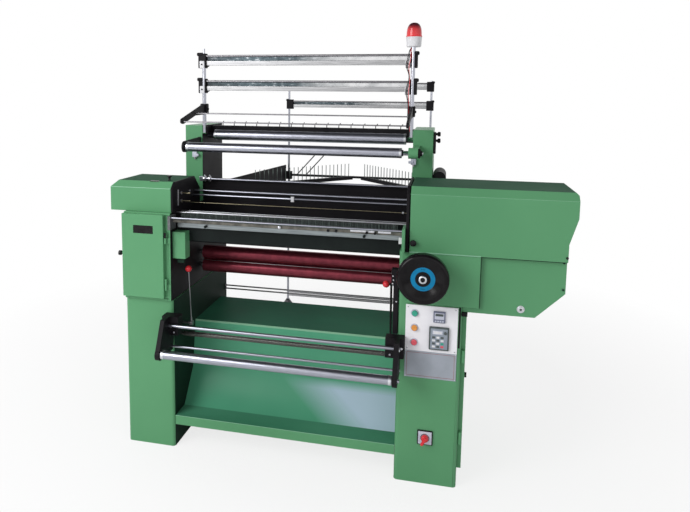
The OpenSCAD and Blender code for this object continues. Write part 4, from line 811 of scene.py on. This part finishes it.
# needle zone
def needleZone():
    settings = {"barX": (-490.5, 510.5), "barY": (30, 42), "barTop": 1056.5, "pitch": 6.0, "thick": 2.2,
                "tipY": (20, 24), "tipZ": 1104, "margin": 20, "nub": (-4, 1072), "knobs": (242, 404),
                "knobGap": 34, "plates": [(300, 401), (415, 468)], "brass": (150, 1132), "brassCollar": 500,
                "yarnRods": [(52, 1101), (70, 1099), (90, 1097), (112, 1098)], "rodEnd": 528.5,
                "sideStrip": [(522, 250, 1085), (528.7, 258, 1230)],
                "lug": [(-492, 22, 874), (-458, 40, 896.2)], "front": -8, "bracketTop": 1030,
                "stripFrom": -20}
    x0, x1 = settings["barX"]
    y0, y1 = settings["barY"]
    top = settings["barTop"]
    bm = bmesh.new()
    bm.from_mesh(nodes["needle_bar"].data)
    bmesh.ops.remove_doubles(bm, verts=bm.verts, dist=1e-5)
    for face in bm.faces:
        face.material_index = int(where(face).z > top + 1)
    roundBox(bm, (x0, y0 + 5, top - 1), (x1, y1 - 1, top + 24), 1, 2, 2)  # strip that backs the needles
    margin, pitch = settings["margin"], settings["pitch"]
    tipLow, tipHigh = settings["tipY"]
    for step in range(int((x1 - x0 - 2 * margin) / pitch) + 1):
        x = x0 + margin + step * pitch
        outline = [at(x, y0 + 1, top - 1), at(x, y0 + 5, top - 1), at(x, tipHigh, settings["tipZ"]),
                   at(x, tipLow, settings["tipZ"])]
        slab(bm, outline, axisX * settings["thick"] * mm, 0, 1)
    standIn("needle_bar", bm, ["barSteel", "needleSteel", "bedPaint"])

    def bracketFaces(face):
        spot = where(face)
        return spot.x < 0 and spot.z > settings["bracketTop"]

    dressNode("needle_bed", "bedPaint", 1.5)
    dressNode("needle_brackets", ["greenEnamel", "castIron"], 2.0, bracketFaces)
    dressNode("front_rods", ["chromeX", "stripTan"], 0, lambda face: where(face).y > settings["stripFrom"])
    bm = bmesh.new()
    x, z = settings["nub"]
    front, end = settings["front"], settings["rodEnd"]
    boltHead(bm, at(x, front, z), -axisY, 7, 9)
    for middle in settings["knobs"]:
        for x in (middle, middle - settings["knobGap"]):
            turn(bm, [(0, 0), (4, 0), (3.5, 6), (6, 7), (6, 12), (5, 14), (0, 14)], at(x, front, z),
                 -axisY, 24, 1)
    for left, right in settings["plates"]:
        roundBox(bm, (left, front - 1.4, z), (right, front + 0.2, z + 8), 0.6, 2)
    roundBox(bm, (500, front, 1031), (gapHalf + 10.2, front + 6, 1058), 1.5, 2, 2)
    y, z = settings["brass"]
    rod(bm, 1.4, at(-gapHalf, y, z), at(end, y, z), 12, 3)
    turn(bm, [(1.6, 0), (6, 0), (6, 8), (1.6, 8)], at(settings["brassCollar"], y, z), axisX, 24)
    for y, z in settings["yarnRods"]:
        rod(bm, 1.5, at(-gapHalf - 4, y, z), at(end, y, z), 12)
    roundBox(bm, *settings["sideStrip"], 1, 2)
    # painted shade: a lug in the dark shade enamel beside the left column
    roundBox(bm, *settings["lug"], 2, 2, 4)
    finishPiece("needleTrim", bm, ["zincPlate", "blackPlastic", "whitePlastic", "brassRod", "shadeEnamel"])


def weftBars():
    settings = {"clampX": (-18, -2), "rod": (342, 1218), "rings": (-484, -458), "beamFront": 360,
                "rodFrom": 1200}

    def clampFaces(face):
        return settings["clampX"][0] < where(face).x < settings["clampX"][1]

    def beamFaces(face):
        spot = where(face)
        return spot.y < settings["beamFront"] and spot.z > settings["rodFrom"]

    dressNode("weft_bar_front", ["chromeX", "whitePlastic"], 0, clampFaces)
    dressNode("weft_bar_rear", "chromeX", 0)
    dressNode("cross_beam", ["blackPaint", "chromeX"], 1.2, beamFaces)
    y, z = settings["rod"]
    bm = bmesh.new()
    for x in settings["rings"]:
        turn(bm, [(5.2, -5), (13, -5), (14, -4), (14, 4), (13, 5), (5.2, 5)], at(x, y, z), axisX, 32)
        rod(bm, 3, at(x, y, z + 12), at(x, y, z + 20), 16)
    finishPiece("rodClamps", bm, "zincPlate")
    dressNode("hook_beam", "blackPaint", 1.0)


needleZone()
weftBars()
print("needle zone made")


# posts, yarn rails, lamp
def yarnRail(bm, posts, y, z, front):
    settings = {"rod": (-6, 20.5, 5), "band": (-2, 1, -3, 16), "bar": (-7, 0, -25, -3), "low": -38,
                "high": 33}
    left, right = posts
    foot, head = z + settings["low"], z + settings["high"]
    for x, side in ((left, -1), (right, 1)):
        outer, inner = (28 if side < 0 else 20, 12) if front else (18, 34)
        x0, x1 = sorted((x + side * outer, x - side * inner))
        roundBox(bm, (x0, y - 16, foot), (x1, y + 15, head), 4)
        x0, x1 = sorted((x + side * (outer + (7 if front else 4)), x + side * 2))  # beak
        roundBox(bm, (x0, y - 18, z + 20), (x1, y + 12, head + 4), 6)
        if front:  # pale clamp with its thumb screw
            x0, x1 = (x - 20, x + 4) if side < 0 else (x - 34, x - 12)
            roundBox(bm, (x0, y - 19, foot), (x1, y + 14, z - 3), 3, 2, 1)
            boltHead(bm, at((x0 + x1) / 2, y - 19, z - 20), -axisY, 4, 2.5)
            if side < 0:
                turn(bm, [(0, 0), (4, 0), (4, 5), (7, 6), (7, 13), (5, 15), (0, 15)],
                     at(x + 8, y, z - 24), axisX, 20)
        else:
            roundBox(bm, (x - 12, y - 15, foot), (x + 12, y + 15, head), 3, 2)
    x0, x1 = left + 12, right - 12
    ry, rz, rr = settings["rod"]
    rod(bm, rr, at(x0 - 6, y + ry, z + rz), at(x1 + 6, y + ry, z + rz), 20, 3)
    back, face, low, high = settings["band"]
    roundBox(bm, (x0, y + back, z + low), (x1, y + face, z + high), 0.8, 2, 2)
    back, face, low, high = settings["bar"]
    roundBox(bm, (x0, y + back, z + low), (x1, y + face, z + high), 1.5, 2, 4)


railFinishes = ["blackPaint", "whitePlastic", "railBand", "turnedSteel", "satinAluminium"]


def postsAndRails():
    settings = {"posts": (-490.5, 516.5), "postY": 371, "railZ": (1797, 1676), "forward": 8,
                "hubZ": (1537, 1587), "tip": (94, 1509), "mid": (238, 1543), "foot": 1444.2, "shelf": 1480.5,
                "stub": 1790, "top": 1853, "radius": 9.5, "thin": (5.5, 9.5)}
    posts, y, r = settings["posts"], settings["postY"], settings["radius"]
    bm = bmesh.new()
    foot, shelf, stub, top = settings["foot"], settings["shelf"], settings["stub"], settings["top"]
    for x, thin in zip(posts, settings["thin"]):  # thicker under the rails, a thin stub on the left
        turn(bm, [(0, foot), (8, foot), (8, shelf), (r, shelf), (r, stub), (thin, stub), (thin, top),
                  (0, top)], at(x, y - settings["forward"], 0), axisZ, 40)
    standIn("front_posts", bm, "chromeZ")
    bm = bmesh.new()
    for z in settings["railZ"]:
        yarnRail(bm, posts, y, z, True)
    standIn("yarn_rails", bm, railFinishes)
    bm = bmesh.new()
    z0, z1 = settings["hubZ"]
    (tipY, tipZ), (midY, midZ) = settings["tip"], settings["mid"]
    for x in posts:
        roundBox(bm, (x - 20, y - 16, z0), (x + 15, y + 16, z1), 5)
        boltHead(bm, at(x + 15, y, z0 + 24), axisX, 6, 5)
        outline = [(y - 8, z0), (y - 8, z1 - 4), (y - 18, z1), (tipY - 8, tipZ + 13), (tipY - 13, tipZ + 4),
                   (tipY - 10, tipZ - 7), (tipY + 6, tipZ - 11), (midY, midZ - 11), (y - 24, z0 - 3)]
        slab(bm, [at(x - 6, py, pz) for py, pz in outline], axisX * 12 * mm, 2.5)
    for py, pz in ((tipY, tipZ), (midY, midZ)):
        rod(bm, 3, at(posts[0] + 5, py, pz), at(posts[1] - 5, py, pz), 16, 1)
    standIn("yarn_arms", bm, ["blackPaint", "turnedSteel"])


def signalLamp():
    settings = {"foot": (516.5, 371, 1853), "baseTall": 44}
    foot, tall = at(*settings["foot"]), settings["baseTall"]
    bm = bmesh.new()
    turn(bm, [(0, 0), (30, 0), (31.5, 1.5), (33, 6), (35, 40), (36, 41), (36, tall), (0, tall)],
         foot, axisZ, 64)
    standIn("lamp_base", bm, "whitePlastic")
    bm = bmesh.new()
    turn(bm, [(0, 0), (35.6, 0), (36, 1), (36, 5), (34, 7), (33.4, 22), (31.8, 35), (28.6, 46), (23.6, 54.6),
              (15.8, 61), (8, 63.4), (0, 64)], foot + axisZ * tall * mm, axisZ, 64)
    standIn("lamp_dome", bm, "lensRed")


def wire(bm, points, radius, finish):  # a smooth lead through the points
    data = bpy.data.curves.new("wirePath", "CURVE")
    data.dimensions = "3D"
    data.bevel_depth = radius * mm
    data.bevel_resolution = 2
    data.resolution_u = 6
    spline = data.splines.new("NURBS")
    spline.points.add(len(points) - 1)
    for spot, point in zip(spline.points, points):
        spot.co = (*at(*point), 1)
    spline.use_endpoint_u = True
    spline.order_u = 4
    holder = bpy.data.objects.new("wirePath", data)
    bpy.context.scene.collection.objects.link(holder)
    bpy.context.view_layer.update()
    mesh = bpy.data.meshes.new_from_object(holder.evaluated_get(bpy.context.evaluated_depsgraph_get()))
    before = set(bm.faces)
    bm.from_mesh(mesh)
    newFaces(bm, before, finish)
    bpy.data.objects.remove(holder)
    bpy.data.curves.remove(data)
    bpy.data.meshes.remove(mesh)


def lampWires():
    settings = {"x": 501, "y": 353, "radius": 1.5,
                "wires": [(0, 0, 3), (4, 1, -3), (-4, 0, 5)],  # shift, finish, sway
                "path": [(12, 0, 0, 14, 1856), (4, 0, 0, 6, 1848), (0, 1, 0, 0, 1836), (0, 1, -1, -3, 1800),
                         (-10, 1, -1, -5, 1772), (-6, 1, 0, -4, 1752), (0, 1, 1, 0, 1725), (0, 1, 0, 0, 1690),
                         (-9, 1, -1, -5, 1655), (-4, 1, 0, -3, 1630), (0, 1, 1, 0, 1580), (0, 1, 0, 0, 1530),
                         (4, 1, 0, 3, 1490), (9, 0.5, 0, 7, 1465), (9, 0.5, 0, 8, 1444)]}
    bm = bmesh.new()
    for shift, finish, sway in settings["wires"]:
        points = [(settings["x"] + out + part * shift + swing * sway, settings["y"] + back, z)
                  for out, part, swing, back, z in settings["path"]]
        wire(bm, points, settings["radius"], finish)
    standIn("lamp_cable", bm, ["blackPlastic", "redGloss"], "lampWires")


postsAndRails()
signalLamp()
lampWires()
print("posts, rails and lamp made")


# creel
def creel():
    settings = {"posts": (-499.5, 553.5), "y": 2100, "railZ": (1700, 1564), "barZ": (1014, 1030),
                "tieZ": (70, 96), "feelers": (40, 110), "feelerLong": 240, "feelerLean": 42, "inset": 25}

    def postFaces(face):
        z = where(face).z
        return z < 42 and abs(face.normal.z) > 0.2 or z < 8

    left, right = settings["posts"]
    y, inset = settings["y"], settings["inset"]
    z0, z1 = settings["barZ"]
    dressNode("creel_posts", ["chromeZ", "castIron"], 0, postFaces)
    dressNode("creel_wings", ["blackPaint", "needleSteel"], 0, lambda face: where(face).z > z1 + 0.5)
    dressNode("creel_side_plates", "blackPaint", 1.0)
    bm = bmesh.new()
    for z in settings["railZ"]:
        yarnRail(bm, (left, right), y, z, False)
    roundBox(bm, (left + inset, y - 8, z0), (right - inset, y + 8, z1), 1.5, 2)
    for z in settings["tieZ"]:
        rod(bm, 5, at(left + 8, y, z), at(right - 8, y, z), 20, 3)
    lean = math.radians(settings["feelerLean"])
    run = Vector((math.sin(lean), 0, math.cos(lean))) * settings["feelerLong"] * mm
    for x in settings["feelers"]:
        start = at(left + inset + x, y, z1 - 4)
        rod(bm, 4, start, start + run, 16)
    standIn("creel_rods", bm, railFinishes)


def rearTies():
    settings = {"y": 690, "z": (570, 552), "r": 4}
    y, r = settings["y"], settings["r"]
    bm = bmesh.new()
    for z in settings["z"]:
        rod(bm, r, at(-gapHalf - 1, y, z), at(gapHalf + 1, y, z), 20)
        for side in (-1, 1):
            turn(bm, [(r, 0), (9, 0), (9, 5), (7, 6), (r, 6)], at(side * gapHalf, y, z), -axisX * side, 24)
    finishPiece("rearTies", bm, "turnedSteel")


creel()
rearTies()
print("creel made")


# floor, light and camera
def studioFloor():
    settings = {"size": 14.0, "colour": (0.92, 0.92, 0.93), "fade": (1.2, 2.8), "whiten": 0.78}
    bm = bmesh.new()
    bmesh.ops.create_grid(bm, x_segments=1, y_segments=1, size=settings["size"])
    mesh = bpy.data.meshes.new("studioFloor")
    bm.to_mesh(mesh)
    bm.free()
    floor = bpy.data.objects.new("studioFloor", mesh)
    bpy.context.scene.collection.objects.link(floor)
    shader, place = finishNodes("floorPaper")
    tree = shader.id_data
    shader.inputs["Base Color"].default_value = (*settings["colour"], 1)
    shader.inputs["Roughness"].default_value = 0.9
    reach = addNode(tree, "VectorMath", {0: place}, operation="LENGTH").outputs["Value"]
    fade = rangeNode(reach, settings["whiten"], 1, *settings["fade"])  # paper runs out into white
    rays = addNode(tree, "LightPath", {}).outputs
    fade = mathNode("MULTIPLY", fade, rays["Is Camera Ray"])
    clear = addNode(tree, "BsdfTransparent", {}).outputs[0]
    mix = addNode(tree, "MixShader", {"Fac": fade, 1: shader.outputs[0], 2: clear})
    tree.links.new(mix.outputs[0], tree.nodes["Material Output"].inputs["Surface"])
    mesh.materials.append(bpy.data.materials["floorPaper"])


def studioLight():
    settings = {"keyAt": (-2.8, -4.0, 3.0), "keySize": 2.8, "keyPower": 118, "fillAt": (3.2, -4.6, 2.4),
                "fillSize": 3.0, "fillPower": 6, "aim": (0, -0.6, 0.8), "sky": 0.55,
                "overhead": [(0.35, (1, 1, 1)), (0.70, (0.03, 0.03, 0.035))]}
    scene = bpy.context.scene
    world = bpy.data.worlds.new("studioWorld")
    scene.world = world
    world.use_nodes = True
    tree = world.node_tree
    sky = tree.nodes["Background"]
    sky.inputs["Color"].default_value = (1, 1, 1, 1)
    sky.inputs["Strength"].default_value = settings["sky"]
    height = axisNode(addNode(tree, "TexCoord", {}).outputs["Object"], "Z")
    shade = rampNode(height, settings["overhead"])  # white round about, dim overhead
    backdrop = addNode(tree, "Background", {"Color": shade}).outputs[0]
    rays = addNode(tree, "LightPath", {}).outputs
    seen = mathNode("MAXIMUM", rays["Is Camera Ray"], rays["Is Glossy Ray"])
    seen = mathNode("MAXIMUM", seen, rays["Is Transmission Ray"])
    mix = addNode(tree, "MixShader", {"Fac": seen, 1: sky.outputs[0], 2: backdrop})
    tree.links.new(mix.outputs[0], tree.nodes["World Output"].inputs["Surface"])
    aim = Vector(settings["aim"])
    for name in ("key", "fill"):
        lamp = bpy.data.lights.new(name + "Light", "AREA")
        lamp.shape = "DISK"
        lamp.size = settings[name + "Size"]
        lamp.energy = settings[name + "Power"]
        holder = bpy.data.objects.new(name + "Light", lamp)
        holder.location = settings[name + "At"]
        holder.rotation_mode = "QUATERNION"
        holder.rotation_quaternion = (aim - holder.location).to_track_quat("-Z", "Y")
        scene.collection.objects.link(holder)
    scene.view_settings.view_transform = "Standard"


def photoCamera():
    settings = {"at": (0.4985, -3.5500, 1.6371), "turn": 13.57, "dip": 6.73, "roll": 0.49, "focalPixels": 631,
                "imageWidth": 690, "imageHeight": 512, "axisPixel": (296.0, 168.6)}
    camera = bpy.data.cameras.new("photoCamera")
    camera.sensor_width = 36
    width = settings["imageWidth"]
    camera.lens = settings["focalPixels"] * camera.sensor_width / width
    camera.shift_x = (width / 2 - settings["axisPixel"][0]) / width
    camera.shift_y = (settings["axisPixel"][1] - settings["imageHeight"] / 2) / width
    holder = bpy.data.objects.new("photoCamera", camera)
    turned = Matrix.Rotation(math.radians(settings["turn"]), 4, "Z")
    dipped = Matrix.Rotation(math.radians(90 - settings["dip"]), 4, "X")
    rolled = Matrix.Rotation(math.radians(settings["roll"]), 4, "Z")
    holder.matrix_world = Matrix.Translation(settings["at"]) @ turned @ dipped @ rolled
    bpy.context.scene.collection.objects.link(holder)
    bpy.context.scene.camera = holder


studioFloor()
studioLight()
photoCamera()
print("studio and camera set")
